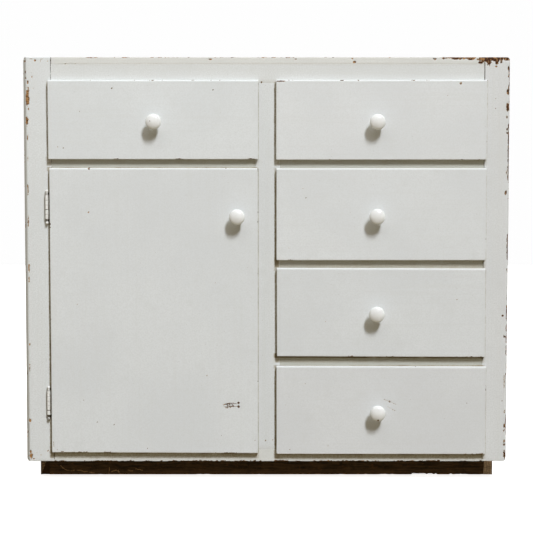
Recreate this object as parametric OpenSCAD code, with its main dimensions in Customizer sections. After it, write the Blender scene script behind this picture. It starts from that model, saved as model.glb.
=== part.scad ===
// Kitchen base cabinet with a face frame, five lipped drawers and one lipped door.
// Millimetres. X to the right, Y to the back, Z up. The floor is at Z = 0 and the
// middle of the whole depth, knobs included, is at Y = 0.

/* [Overall] */
// Width over the two side panels
cabinet_w = 1016; // [920:4:1200]
// Height from the floor to the top of the top board
cabinet_h = 895; // [870:1:940]
// Depth from the face of the frame to the back of the sides
body_depth = 584; // [560:2:660]

/* [Boards] */
// Thickness of the side panels
side_t = 19; // [17:0.5:22]
// Thickness of the partition
partition_t = 19; // [17:0.5:21]
// Thickness of the bottom board
bottom_t = 19; // [15:0.5:22]
// Thickness of the top board, whose front edge shows above the top rail
top_board_t = 14; // [12:0.5:20]
// Thickness of the back panel
back_t = 6; // [4:0.5:9]
// Width of the rebate in each side that holds the back panel
back_rebate_w = 9; // [6:0.5:12]
// Depth of the grooves that hold the bottom board and the partition
housing_d = 6; // [4:0.5:8]
// Play all round a board in its groove
board_play = 0.1; // [0.05:0.05:0.3]
// Rounding of the outer long edges of the side panels
side_edge_r = 5; // [3:0.5:7]

/* [Face frame] */
// Thickness of the face frame
frame_t = 19; // [17:0.5:22]
// Width of the left stile
left_stile_w = 58; // [48:1:70]
// Width of the right stile
right_stile_w = 53; // [46:1:70]
// Width of the centre stile
centre_stile_w = 51; // [46:1:60]
// Height of the top rail
top_rail_h = 40; // [34:1:60]
// Height of each rail between two openings
rail_h = 31; // [26:1:38]
// Rounding of the worn outer edges of the two outer stiles
stile_edge_r = 8; // [3:0.5:9]
// Rounding of the two outer corners of an outer stile
stile_corner_r = 5; // [2:0.5:8]
// Rounding along the top front edge of the frame
top_edge_r = 2.5; // [1:0.5:4]
// Length of the stub tenons
tenon_len = 9; // [6:0.5:12]
// Thickness of the stub tenons
tenon_t = 7; // [5:0.5:9]
// Shoulder left above and below a tenon
tenon_shoulder = 5; // [4:0.5:7]
// Play all round a tenon in its mortise
tenon_play = 0.1; // [0.05:0.05:0.3]

/* [Openings] */
// Height of the opening for the left drawer
left_drawer_open_h = 152; // [130:1:170]
// Height of the opening for the first right drawer
right_first_open_h = 153; // [130:1:170]
// Height of the opening for the second right drawer
right_second_open_h = 178; // [160:1:195]
// Height of the opening for the third right drawer
right_third_open_h = 174; // [160:1:190]

/* [Fronts] */
// Thickness of the door and of the drawer fronts
front_t = 19; // [18:0.5:22]
// Thickness of the lip that lies over the frame
lip_t = 9.5; // [8:0.5:11]
// How far the lip laps over the frame on every side
lip_w = 6.5; // [5:0.5:9]
// Gap between the back of the lip and the frame when shut
lip_gap = 0.5; // [0.3:0.1:1]
// Rounding of the front edges of the lip
lip_edge_r = 3; // [1.5:0.5:4]

/* [Drawers] */
// Length of the drawer sides
drawer_len = 530; // [450:5:545]
// Thickness of drawer sides and back
drawer_side_t = 12; // [10:0.5:14]
// Play between a drawer side and the edge of its opening
drawer_play = 1.5; // [1:0.25:2.5]
// Play above the drawer sides
drawer_top_play = 4; // [2:0.5:8]
// Thickness of the drawer bottoms
drawer_bottom_t = 5; // [4:0.5:6]
// Height of the drawer bottom's groove above the lower edge
groove_z = 10; // [8:0.5:14]
// Depth of the groove for the drawer bottom
groove_d = 5; // [4:0.5:6]
// Depth of the slot in each side that holds the back
back_slot_d = 4; // [3:0.5:6]
// Distance from the back of the drawer back to the end of the sides
back_setback = 14; // [8:1:30]
// How much lower the back is than the sides
back_drop = 6; // [2:1:15]

/* [Runners] */
// How far a runner reaches under the drawer from the edge of the opening
runner_reach = 18; // [15:0.5:30]
// Height of the guide above the runner
guide_h = 12; // [8:1:20]

/* [Shelf] */
// Height of the top of the shelf above the bottom board
shelf_up = 293; // [200:1:380]
// Thickness of the shelf
shelf_t = 19; // [15:0.5:22]
// Depth of the shelf from front to back
shelf_d = 480; // [300:10:520]
// Play between the shelf and the boards at its ends
shelf_play = 0.5; // [0.3:0.1:2]
// Width of the cleats that carry the shelf
cleat_w = 19; // [15:1:25]
// Height of the cleats that carry the shelf
cleat_h = 28; // [20:1:40]

/* [Plinth] */
// Height of the plinth that shows below the sides
plinth_h = 44; // [38:1:60]
// How far the bottom board lies above the lower edge of the sides
bottom_lift = 6; // [5:1:12]
// Width of each plinth runner
plinth_runner_w = 19; // [16:1:40]
// Distance of the plinth runners behind the face of the frame
plinth_recess = 76; // [50:1:100]
// Thickness of the kick board
kick_t = 19; // [12:1:22]
// Distance of the kick board behind the ends of the runners
kick_setback = 1; // [0.5:0.5:12]

/* [Knobs] */
// Diameter of a knob's flattened ball
knob_d = 33; // [28:0.5:38]
// Thickness of the flattened ball
knob_head_t = 18; // [16:0.5:24]
// Radius of the rim of the flattened ball
knob_rim_r = 6; // [4:0.5:7.5]
// Height of the ball's rim above the front
knob_stand = 19.5; // [17:0.5:28]
// Diameter of the neck under the ball
knob_neck_d = 15; // [12:0.5:18]
// Diameter of the rose that stands on the front
knob_rose_d = 20; // [17:0.5:26]
// Shift of the left drawer's knob from the middle of its front towards the door's free edge
left_knob_shift = 2; // [-20:1:20]
// Shift of the right drawers' knobs from the middle of their fronts towards the centre stile
right_knob_shift = 11; // [-20:1:20]
// How much less of that shift the lowest drawer's knob has
fourth_knob_back = 3; // [0:0.5:6]
// How far the drawer knobs lie below the middle of their openings
knob_drop = 4.5; // [0:0.5:10]
// How much less of that drop the third drawer's knob has
third_knob_rise = 2.5; // [0:0.5:4]
// How far the lowest front hangs below the middle of its opening
fourth_front_drop = 2; // [0:0.5:3]
// Distance of the door knob from the free edge of the door
door_knob_inset = 45; // [30:1:70]
// Distance of the door knob below the top of the door
door_knob_down = 102; // [70:1:200]
// Diameter of the knob screws
knob_screw_d = 4; // [3:0.5:5]
// Diameter of the heads of the knob screws
knob_head_d = 9; // [7:0.5:11]
// Height of the heads of the knob screws
knob_head_h = 2.4; // [1.5:0.1:3]
// Depth of the screw hole in a knob
knob_hole_l = 20; // [14:1:24]

/* [Hinges] */
// Radius of the hinge barrel
barrel_r = 4.1; // [3.6:0.1:4.4]
// Length of the hinge barrel
barrel_len = 49; // [40:1:64]
// Number of knuckles in a barrel
knuckles = 5; // [3:2:7]
// Gap between two knuckles
knuckle_gap = 0.4; // [0.2:0.1:0.5]
// Thickness of the hinge leaves
leaf_t = 1.2; // [1:0.1:1.4]
// Gap between the two leaves when shut
leaf_gap = 0.1; // [0.1:0.05:0.2]
// Gap between the barrel and the edge of the door
barrel_play = 2.2; // [0.2:0.1:2.6]
// How far the door's lip laps over the frame on the hinge side
door_hinge_lip = 3.5; // [3:0.5:6.5]
// Gap between the door and its opening on the hinge side
hinge_play = 3; // [2.8:0.1:3.5]
// Gap between the door and its opening on the other sides
door_play = 2; // [1:0.5:3]
// Diameter of the hinge pins
pin_d = 4; // [3.4:0.1:4.4]
// Radial gap between a pin and its knuckles
pin_play = 0.05; // [0.02:0.01:0.1]
// Length of the ball tip at each end of a pin
tip_len = 12; // [8:0.5:14]
// Radius of the ball at the end of a pin
tip_r = 3.3; // [2.8:0.1:4]
// Middle of the upper hinge below the top of the door
upper_hinge_down = 82; // [60:1:150]
// Middle of the lower hinge above the foot of the door
lower_hinge_up = 106; // [60:1:150]
// Diameter of the small countersunk screws
screw_d = 2.8; // [2.4:0.1:3.4]
// Diameter of the heads of the small screws
screw_head_d = 5.2; // [4.6:0.1:5.6]
// Length of the small screws
screw_len = 14; // [10:1:16]
// Height of the two screws of a leaf above and below its middle
screw_spread = 16; // [10:1:18]
// Radial play of a screw in its pilot hole
pilot_play = 0.02; // [0.01:0.01:0.05]

/* [Catch] */
// Middle of the catch below the top of the door's opening
catch_down = 178; // [60:2:240]
// Height between the jaws of the catch
jaw_gap = 9; // [8:0.5:12]
// Thickness of a jaw
jaw_t = 2.5; // [2:0.5:4]
// Reach of the jaws from the partition
jaw_reach = 36; // [34:1:40]
// Width of the catch from front to back
jaw_w = 20; // [16:1:26]
// Width of the two flanges that screw the catch to the partition
catch_flange = 10; // [8:0.5:14]
// Radius of the ball in each jaw
ball_r = 4; // [3:0.5:5]
// Thickness of the strike's tongue
tongue_t = 4; // [3:0.5:5]
// Width of the strike's tongue
tongue_w = 8; // [6:0.5:10]
// How far the tongue lies inside the tips of the jaws
tongue_inset = 3; // [2:0.5:5]
// Height of the strike's plate above and below the tongue's middle
strike_half_h = 16; // [14:0.5:20]
// Gap between the tongue and each jaw's ball
ball_gap = 0.3; // [0.3:0.1:0.6]

/* [Worktop fixing] */
// Diameter of the screw holes through the top board
fixing_hole_d = 5; // [4:0.5:7]
// Distance of the screw holes from the outside of the cabinet
fixing_inset_x = 68; // [50:1:120]
// Distance of the front screw holes behind the face of the frame
fixing_front_y = 60; // [45:1:90]
// Distance of the rear screw holes from the back of the sides
fixing_back_y = 60; // [45:1:90]

/* [Show] */
// Which node to draw

/* [Hidden] */
$fn = 64;
e = 0.01;
paint = [0.82, 0.83, 0.81];
raw_wood = [0.72, 0.58, 0.42];
dark_wood = [0.22, 0.15, 0.10];
porcelain = [0.93, 0.93, 0.90];
metal = [0.62, 0.60, 0.55];

// A knob's flattened ball: two caps that run smoothly into the arc of its rim
knob_r = knob_d / 2;
knob_half_t = knob_head_t / 2;
knob_rim_x = knob_r - knob_rim_r;
knob_cap_r = (pow(knob_rim_x, 2) + pow(knob_half_t, 2) - pow(knob_rim_r, 2))
             / (2 * (knob_half_t - knob_rim_r));
knob_cap_y = knob_cap_r - knob_half_t;
knob_cap_end = knob_cap_r * knob_rim_x / (knob_cap_r - knob_rim_r);

// The whole depth runs from the tip of a knob to the back of the sides
front_y_stand = lip_gap + lip_t;
whole_depth = body_depth + front_y_stand + knob_stand + knob_half_t;
face_y = whole_depth / 2 - body_depth;
back_y = face_y + body_depth;
inner_back_y = back_y - back_t;
behind_frame_y = face_y + frame_t;
lip_back_y = face_y - lip_gap;
front_face_y = lip_back_y - lip_t;
block_back_y = front_face_y + front_t;

// Sides and frame across the width
left_x = -cabinet_w / 2;
right_x = cabinet_w / 2;
inner_left_x = left_x + side_t;
inner_right_x = right_x - side_t;
open_w = (cabinet_w - left_stile_w - right_stile_w - centre_stile_w) / 2;
left_open_x = left_x + left_stile_w;
centre_stile_x = left_open_x + open_w;
right_open_x = centre_stile_x + centre_stile_w;
partition_x = centre_stile_x + (centre_stile_w - partition_t) / 2;

// Heights of rails and openings
top_z = cabinet_h;
top_board_z = top_z - top_board_t;
top_rail_z = top_board_z - top_rail_h;
foot_z = plinth_h;
bottom_board_z = foot_z + bottom_lift;
floor_z = bottom_board_z + bottom_t;
bottom_rail_top = floor_z;
bottom_rail_h = bottom_rail_top - foot_z;
left_rail_z = top_rail_z - left_drawer_open_h - rail_h;
first_rail_z = top_rail_z - right_first_open_h - rail_h;
second_rail_z = first_rail_z - right_second_open_h - rail_h;
third_rail_z = second_rail_z - right_third_open_h - rail_h;
right_rail_zs = [first_rail_z, second_rail_z, third_rail_z];
rail_places = [
  [left_open_x, left_rail_z],
  [right_open_x, first_rail_z],
  [right_open_x, second_rail_z],
  [right_open_x, third_rail_z],
];
door_open_z = bottom_rail_top;
door_open_h = left_rail_z - bottom_rail_top;
fourth_open_h = third_rail_z - bottom_rail_top;

// Hinge axis, beside the edge of the door and in front of the left stile
hinge_x = left_open_x - door_hinge_lip - barrel_play - barrel_r;
hinge_y = face_y - barrel_r;
door_z = door_open_z - lip_w;
door_h = door_open_h + 2 * lip_w;
hinge_zs = [door_z + door_h - upper_hinge_down, door_z + lower_hinge_up];
edge_dx = left_open_x - hinge_x;
frame_leaf_y = barrel_r - leaf_t;
door_leaf_y = frame_leaf_y - leaf_gap - leaf_t;
leg_margin = 1;
frame_leg_l = leaf_t + frame_t - leg_margin;
door_leg_l = front_t - lip_t - leg_margin;
frame_screw_dy = barrel_r + frame_t / 2;
door_screw_dy = barrel_r - lip_gap + (front_t - lip_t) / 2;
pitch = barrel_len / knuckles;

// Catch, on the left face of the partition
catch_y = behind_frame_y + 6;
catch_z = left_rail_z - catch_down;
catch_half_h = jaw_gap / 2 + jaw_t;
catch_screw_up = catch_half_h + catch_flange / 2;
strike_screw_up = (strike_half_h + tongue_t / 2) / 2;
tongue_x = partition_x - jaw_reach + tongue_inset;
shelf_z = floor_z + shelf_up;

// Knob of the door
door_knob_x = centre_stile_x + lip_w - door_knob_inset;
door_knob_z = door_z + door_h - door_knob_down;

// Each drawer is [left edge of its opening, foot of its opening, its height, knob x, drop of
// its knob below the middle of the opening, drop of its front]
left_knob_x = left_open_x + open_w / 2 + left_knob_shift;
right_knob_x = right_open_x + open_w / 2 - right_knob_shift;
left_drawer = [left_open_x, left_rail_z + rail_h, left_drawer_open_h, left_knob_x,
               knob_drop, 0];
first_drawer = [right_open_x, first_rail_z + rail_h, right_first_open_h, right_knob_x,
                knob_drop, 0];
second_drawer = [right_open_x, second_rail_z + rail_h, right_second_open_h, right_knob_x,
                 knob_drop, 0];
third_drawer = [right_open_x, third_rail_z + rail_h, right_third_open_h, right_knob_x,
                knob_drop - third_knob_rise, 0];
fourth_drawer = [right_open_x, bottom_rail_top, fourth_open_h,
                 right_knob_x + fourth_knob_back, knob_drop + fourth_front_drop / 2,
                 fourth_front_drop];

// A box from one corner to the other
module block(x0, x1, y0, y1, z0, z1) {
  translate([x0, y0, z0])
    cube([x1 - x0, y1 - y0, z1 - z0]);
}

// Outline of a slab of width w and depth d whose two front corners are rounded
module eased_outline(w, d, r_left, r_right) {
  difference() {
    square([w, d]);
    corner_waste(r_left);
    translate([w, 0])
      mirror([1, 0])
        corner_waste(r_right);
  }
}

// What a rounding of radius r takes off the corner at the origin
module corner_waste(r) {
  difference() {
    translate([-1, -1])
      square([r + 1, r + 1]);
    translate([r, r])
      circle(r);
  }
}

// A slab that stands upright with its front edges eased all round
module eased_slab(w, h, t, r) {
  intersection() {
    linear_extrude(h)
      eased_outline(w, t, r, r);
    translate([w, 0, 0])
      rotate([0, -90, 0])
        linear_extrude(w)
          turned_outline(h, t, r);
  }
}

// The eased outline with its width along the first axis and its depth along Y
module turned_outline(h, t, r) {
  eased_outline(h, t, r, r);
}

// Sides, boards and back

// Side panel drawn for the left side with its outer face at X = 0
module side_panel() {
  difference() {
    translate([0, back_y, foot_z])
      rotate([90, 0, 0])
        linear_extrude(body_depth - frame_t)
          side_section();
    block(side_t - housing_d, side_t + 1, behind_frame_y - 1, inner_back_y,
          bottom_board_z - board_play, floor_z + board_play);
    block(side_t - back_rebate_w, side_t + 1, inner_back_y, back_y + 1,
          bottom_board_z, top_z + 1);
  }
}

// Section of a side panel across the cabinet, with its outer edges eased
module side_section() {
  h = top_z - foot_z;
  difference() {
    square([side_t, h]);
    corner_waste(side_edge_r);
    translate([0, h])
      mirror([0, 1])
        corner_waste(side_edge_r);
  }
}

module side_panel_left() {
  color(paint)
    translate([left_x, 0, 0])
      side_panel();
}

module side_panel_right() {
  color(paint)
    translate([right_x, 0, 0])
      mirror([1, 0, 0])
        side_panel();
}

module partition() {
  color(raw_wood)
    difference() {
      block(partition_x, partition_x + partition_t, behind_frame_y, inner_back_y,
            floor_z - housing_d, top_board_z + housing_d);
      at_catch_screws()
        small_screw_hole();
    }
}

// Room for the partition in the bottom board and the top board
module partition_groove(z0, z1) {
  block(partition_x - board_play, partition_x + partition_t + board_play,
        behind_frame_y - 1, inner_back_y + 1, z0, z1);
}

module bottom_board() {
  color(raw_wood)
    difference() {
      block(inner_left_x - housing_d + board_play, inner_right_x + housing_d - board_play,
            behind_frame_y, inner_back_y, bottom_board_z, floor_z);
      partition_groove(floor_z - housing_d, floor_z + 1);
    }
}

module top_board() {
  color(paint)
    difference() {
      union() {
        block(inner_left_x, inner_right_x, behind_frame_y, inner_back_y, top_board_z, top_z);
        translate([left_open_x, face_y, top_board_z])
          top_nose();
      }
      partition_groove(top_board_z - 1, top_board_z + housing_d);
      for (x = [left_x + fixing_inset_x, right_x - fixing_inset_x])
        for (y = [face_y + fixing_front_y, back_y - fixing_back_y])
          translate([x, y, top_board_z - 1])
            cylinder(h = top_board_t + 2, d = fixing_hole_d);
    }
}

// The part of the top board that comes forward between the outer stiles
module top_nose() {
  len = 2 * open_w + centre_stile_w;
  translate([len, 0, 0])
    rotate([0, -90, 0])
      linear_extrude(len)
        eased_outline(top_board_t, frame_t + 1, 0, top_edge_r);
}

module back_panel() {
  color(raw_wood)
    block(inner_left_x - back_rebate_w + board_play, inner_right_x + back_rebate_w - board_play,
          inner_back_y, back_y, bottom_board_z, top_z);
}

// Face frame

// Stub tenon of a rail of height h, starting at the shoulder and running along +X
module tenon(h, play) {
  translate([-e, (frame_t - tenon_t) / 2 - play, tenon_shoulder - play])
    cube([tenon_len + e + 3 * play, tenon_t + 2 * play, h - 2 * tenon_shoulder + 2 * play]);
}

// Both tenons of a rail that starts at x0 and is len long
module rail_tenons(x0, len, z0, h, play) {
  translate([x0 + len, face_y, z0])
    tenon(h, play);
  translate([x0, face_y, z0])
    mirror([1, 0, 0])
      tenon(h, play);
}

module rail(x0, len, z0, h) {
  block(x0, x0 + len, face_y, behind_frame_y, z0, z0 + h);
  rail_tenons(x0, len, z0, h, 0);
}

// Outer stile, drawn for the left one, with its outer edges and corners rounded
module outer_stile(w) {
  h = top_z - foot_z;
  intersection() {
    translate([0, 0, foot_z])
      linear_extrude(h)
        eased_outline(w, frame_t, stile_edge_r, 0);
    translate([0, frame_t, foot_z])
      rotate([90, 0, 0])
        linear_extrude(frame_t)
          stile_face(w, h);
    translate([w, 0, foot_z])
      rotate([0, -90, 0])
        linear_extrude(w)
          eased_outline(h, frame_t, 0, top_edge_r);
  }
}

// Face of an outer stile, with the two outer corners rounded
module stile_face(w, h) {
  difference() {
    square([w, h]);
    corner_waste(stile_corner_r);
    translate([0, h])
      mirror([0, 1])
        corner_waste(stile_corner_r);
  }
}

module stile_left() {
  color(paint)
    difference() {
      translate([left_x, face_y, 0])
        outer_stile(left_stile_w);
      frame_mortises();
      for (z = hinge_zs)
        translate([hinge_x, hinge_y, z])
          frame_leaf_holes();
    }
}

module stile_right() {
  color(paint)
    difference() {
      translate([right_x, face_y, 0])
        mirror([1, 0, 0])
          outer_stile(right_stile_w);
      frame_mortises();
    }
}

// Every mortise that a rail needs in the stiles beside it
module frame_mortises() {
  whole = 2 * open_w + centre_stile_w;
  rail_tenons(left_open_x, whole, top_rail_z, top_rail_h, tenon_play);
  rail_tenons(left_open_x, whole, foot_z, bottom_rail_h, tenon_play);
  for (p = rail_places)
    rail_tenons(p[0], open_w, p[1], rail_h, tenon_play);
}

// Stub tenon at an end of the centre stile, running along +Z from the shoulder
module stile_tenon(play) {
  translate([centre_stile_x + tenon_shoulder - play, face_y + (frame_t - tenon_t) / 2 - play, -e])
    cube([centre_stile_w - 2 * tenon_shoulder + 2 * play, tenon_t + 2 * play,
          tenon_len + e + 3 * play]);
}

module stile_tenons(play) {
  translate([0, 0, top_rail_z])
    stile_tenon(play);
  translate([0, 0, bottom_rail_top])
    mirror([0, 0, 1])
      stile_tenon(play);
}

module stile_centre() {
  color(paint)
    difference() {
      union() {
        block(centre_stile_x, right_open_x, face_y, behind_frame_y, bottom_rail_top, top_rail_z);
        stile_tenons(0);
      }
      for (p = rail_places)
        rail_tenons(p[0], open_w, p[1], rail_h, tenon_play);
    }
}

module top_rail() {
  color(paint)
    difference() {
      rail(left_open_x, 2 * open_w + centre_stile_w, top_rail_z, top_rail_h);
      stile_tenons(tenon_play);
    }
}

module bottom_rail() {
  color(paint)
    difference() {
      rail(left_open_x, 2 * open_w + centre_stile_w, foot_z, bottom_rail_h);
      stile_tenons(tenon_play);
    }
}

module drawer_rails() {
  color(paint)
    for (p = rail_places)
      rail(p[0], open_w, p[1], rail_h);
}

// Shelf and plinth

module shelf() {
  color(raw_wood)
    block(inner_left_x + shelf_play, partition_x - shelf_play, behind_frame_y + 20,
          behind_frame_y + 20 + shelf_d, shelf_z - shelf_t, shelf_z);
}

module shelf_cleats() {
  color(raw_wood)
    for (x = [inner_left_x, partition_x - cleat_w])
      block(x, x + cleat_w, behind_frame_y + 30, behind_frame_y + shelf_d,
            shelf_z - shelf_t - cleat_h, shelf_z - shelf_t);
}

module plinth_runners() {
  color(dark_wood)
    for (x = [inner_left_x, inner_right_x - plinth_runner_w])
      block(x, x + plinth_runner_w, face_y + plinth_recess, inner_back_y, 0, bottom_board_z);
}

module kick_board() {
  y0 = face_y + plinth_recess + kick_setback;
  color(dark_wood)
    block(inner_left_x + plinth_runner_w, inner_right_x - plinth_runner_w, y0, y0 + kick_t,
          0, bottom_board_z);
}

// Runners and guides

// Runner of L section along a board at X = 0, with the opening's edge at gap
module drawer_runner(gap, z0) {
  translate([0, inner_back_y, z0])
    rotate([90, 0, 0])
      linear_extrude(inner_back_y - behind_frame_y)
        runner_section(gap);
}

module runner_section(gap) {
  square([gap + runner_reach, rail_h]);
  square([gap, rail_h + guide_h]);
}

// Runner on a board's right face, and one on a board's left face
module runner_right_of(board_x, edge_x, z0) {
  translate([board_x, 0, 0])
    drawer_runner(edge_x - board_x, z0);
}

module runner_left_of(board_x, edge_x, z0) {
  translate([board_x, 0, 0])
    mirror([1, 0, 0])
      drawer_runner(board_x - edge_x, z0);
}

module left_drawer_runners() {
  color(raw_wood) {
    runner_right_of(inner_left_x, left_open_x, left_rail_z);
    runner_left_of(partition_x, centre_stile_x, left_rail_z);
  }
}

module right_outer_runners() {
  color(raw_wood)
    for (z = right_rail_zs)
      runner_left_of(inner_right_x, right_open_x + open_w, z);
}

module right_inner_runners() {
  color(raw_wood)
    for (z = right_rail_zs)
      runner_right_of(partition_x + partition_t, right_open_x, z);
}

module bottom_guides() {
  color(raw_wood) {
    block(partition_x + partition_t, right_open_x, behind_frame_y, inner_back_y,
          floor_z, bottom_rail_top + guide_h);
    block(right_open_x + open_w, inner_right_x, behind_frame_y, inner_back_y,
          floor_z, bottom_rail_top + guide_h);
  }
}

// Hinges. Their modules are drawn about the hinge axis with Z = 0 at mid barrel

// Section of the leaf on the frame: barrel, flat against the stile, and leg in the opening
module frame_leaf_section() {
  circle(barrel_r);
  translate([0, frame_leaf_y])
    square([edge_dx + leaf_t, leaf_t]);
  translate([edge_dx, frame_leaf_y])
    square([leaf_t, frame_leg_l]);
}

// Section of the leaf on the door: barrel, flat behind the lip, and leg on the door's edge
module door_leaf_section() {
  circle(barrel_r);
  translate([0, door_leaf_y])
    square([edge_dx + hinge_play, leaf_t]);
  translate([edge_dx + hinge_play - leaf_t, door_leaf_y])
    square([leaf_t, door_leg_l + barrel_r - lip_gap - door_leaf_y]);
}

// Room round the other leaf's knuckles. odd is 0 for the frame leaf and 1 for the door leaf
module knuckle_notches(odd) {
  for (i = [0 : knuckles - 1])
    if (i % 2 != odd)
      translate([-barrel_r - 1, -barrel_r - 1, -barrel_len / 2 + i * pitch - knuckle_gap / 2])
        cube([2 * barrel_r + 1 + barrel_play, 2 * barrel_r + 2, pitch + knuckle_gap]);
}

module barrel_bore() {
  translate([0, 0, -barrel_len / 2 - 1])
    cylinder(h = barrel_len + 2, d = pin_d + 2 * pin_play);
}

// Countersunk screw with its head's face at X = 0, running along +X
module small_screw() {
  rotate([0, 90, 0]) {
    cylinder(h = leaf_t, d1 = screw_head_d, d2 = screw_d);
    cylinder(h = screw_len, d = screw_d);
  }
}

// Hole for a small screw through a leaf and into the wood
module small_screw_hole() {
  rotate([0, 90, 0]) {
    translate([0, 0, -e])
      cylinder(h = leaf_t + e, d1 = screw_head_d + 2 * pilot_play, d2 = screw_d + 2 * pilot_play);
    cylinder(h = screw_len + 0.5, d = screw_d + 2 * pilot_play);
  }
}

module frame_leaf_holes() {
  for (s = [-screw_spread, screw_spread])
    translate([edge_dx + leaf_t, frame_screw_dy, s])
      mirror([1, 0, 0])
        small_screw_hole();
}

module door_leaf_holes() {
  for (s = [-screw_spread, screw_spread])
    translate([edge_dx + hinge_play - leaf_t, door_screw_dy, s])
      small_screw_hole();
}

module hinge_frame_leaves() {
  color(paint)
    for (z = hinge_zs)
      translate([hinge_x, hinge_y, z])
        difference() {
          translate([0, 0, -barrel_len / 2])
            linear_extrude(barrel_len)
              frame_leaf_section();
          knuckle_notches(0);
          barrel_bore();
          frame_leaf_holes();
        }
}

module hinge_door_leaves() {
  color(paint)
    for (z = hinge_zs)
      translate([hinge_x, hinge_y, z])
        difference() {
          translate([0, 0, -barrel_len / 2])
            linear_extrude(barrel_len)
              door_leaf_section();
          knuckle_notches(1);
          barrel_bore();
          door_leaf_holes();
        }
}

// Half profile of a pin with a necked ball at each end, turned about the axis
module hinge_pins() {
  color(paint)
    for (z = hinge_zs)
      translate([hinge_x, hinge_y, z]) {
        translate([0, 0, -barrel_len / 2 - 1])
          cylinder(h = barrel_len + 2, d = pin_d);
        translate([0, 0, barrel_len / 2])
          pin_tip();
        mirror([0, 0, 1])
          translate([0, 0, barrel_len / 2])
            pin_tip();
      }
}

// Ball tip of a pin: a collar over the barrel's end, a waisted neck and a ball
module pin_tip() {
  rotate_extrude()
    intersection() {
      square([barrel_r + 1, tip_len]);
      union() {
        translate([0, pin_play])
          square([barrel_r - 0.4, 1.6]);
        translate([0, 1])
          square([pin_d / 2 + 0.3, tip_len - tip_r - 1]);
        translate([0, tip_len - tip_r])
          circle(tip_r);
      }
    }
}

// Screws of the leaves on the frame and of the catch
module carcass_screws() {
  color(metal) {
    for (z = hinge_zs)
      for (s = [-screw_spread, screw_spread])
        translate([hinge_x + edge_dx + leaf_t, hinge_y + frame_screw_dy, z + s])
          mirror([1, 0, 0])
            small_screw();
    catch_screws();
  }
}

// Screws of the leaves on the door and of the strike
module door_screws() {
  color(metal) {
    for (z = hinge_zs)
      for (s = [-screw_spread, screw_spread])
        translate([hinge_x + edge_dx + hinge_play - leaf_t, hinge_y + door_screw_dy, z + s])
          small_screw();
    strike_screws();
  }
}

// Door

module door_panel() {
  w = open_w + door_hinge_lip + lip_w;
  color(paint)
    difference() {
      union() {
        translate([left_open_x - door_hinge_lip, front_face_y, door_z])
          eased_slab(w, door_h, lip_t, lip_edge_r);
        block(left_open_x + hinge_play, centre_stile_x - door_play, lip_back_y - e, block_back_y,
              door_open_z + door_play, left_rail_z - door_play);
      }
      for (z = hinge_zs)
        translate([hinge_x, hinge_y, z]) {
          translate([-1, door_leaf_y, -barrel_len / 2 - knuckle_gap])
            cube([edge_dx + hinge_play + 1, barrel_r, barrel_len + 2 * knuckle_gap]);
          door_leaf_holes();
        }
      translate([door_knob_x, front_face_y, door_knob_z])
        knob_bore();
      strike_holes();
    }
}

module door_knob() {
  color(porcelain)
    translate([door_knob_x, front_face_y, door_knob_z])
      knob();
}

module door_knob_screw() {
  color(metal)
    translate([door_knob_x, front_face_y, door_knob_z])
      knob_screw();
}

// Knobs, drawn with the front's face at Y = 0 and the knob towards -Y

module knob() {
  rotate([90, 0, 0])
    difference() {
      rotate_extrude()
        knob_profile();
      translate([0, 0, -1])
        cylinder(h = knob_hole_l + 1, d = knob_screw_d + 2 * pin_play);
    }
}

// Half profile of a knob: rose, waisted neck and flattened ball
module knob_profile() {
  waist = (knob_rose_d - knob_neck_d) / 2;
  intersection() {
    square([knob_r + 1, knob_stand + knob_half_t + 1]);
    union() {
      difference() {
        square([knob_rose_d / 2, knob_stand]);
        translate([knob_neck_d / 2 + waist, 1.6 + waist])
          circle(waist);
        translate([knob_neck_d / 2, 1.6 + waist])
          square([waist + 1, knob_stand]);
      }
      translate([0, knob_stand])
        flattened_ball();
    }
  }
}

module flattened_ball() {
  translate([knob_rim_x, 0])
    circle(knob_rim_r);
  intersection() {
    translate([0, -knob_cap_y])
      circle(knob_cap_r);
    translate([0, knob_cap_y])
      circle(knob_cap_r);
    translate([0, -knob_half_t - 1])
      square([knob_cap_end, knob_head_t + 2]);
  }
}

module knob_screw() {
  rotate([-90, 0, 0]) {
    translate([0, 0, -knob_hole_l + 2])
      cylinder(h = front_t + knob_hole_l - 2 + 0.5, d = knob_screw_d);
    translate([0, 0, front_t])
      rotate_extrude()
        screw_head_profile();
  }
}

// Low round head of a knob screw
module screw_head_profile() {
  r = (pow(knob_head_d / 2, 2) + pow(knob_head_h, 2)) / (2 * knob_head_h);
  intersection() {
    square([knob_head_d / 2, knob_head_h]);
    translate([0, knob_head_h - r])
      circle(r);
  }
}

// Hole through a front for its knob screw
module knob_bore() {
  rotate([-90, 0, 0])
    translate([0, 0, -1])
      cylinder(h = front_t + 2, d = knob_screw_d + 2 * pin_play);
}

// Drawers

function box_x(d) = d[0] + drawer_play;
function box_w() = open_w - 2 * drawer_play;
function box_h(d) = d[2] - drawer_top_play;
function knob_z(d) = d[1] + d[2] / 2 - d[4];
back_end_y = lip_back_y + drawer_len - back_setback;

module drawer_front(d) {
  color(paint)
    difference() {
      union() {
        translate([d[0] - lip_w, front_face_y, d[1] - lip_w - d[5]])
          eased_slab(open_w + 2 * lip_w, d[2] + 2 * lip_w, lip_t, lip_edge_r);
        block(box_x(d) + drawer_side_t, box_x(d) + box_w() - drawer_side_t, lip_back_y - e,
              block_back_y, d[1], d[1] + box_h(d));
      }
      drawer_bottom_room(d);
      translate([d[3], front_face_y, knob_z(d)])
        knob_bore();
    }
}

// Space that the bottom takes in the grooves of the front and the sides
module drawer_bottom_room(d) {
  block(box_x(d) + drawer_side_t - groove_d, box_x(d) + box_w() - drawer_side_t + groove_d,
        block_back_y - groove_d, back_end_y + back_setback + 1,
        d[1] + groove_z - board_play, d[1] + groove_z + drawer_bottom_t + board_play);
}

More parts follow.
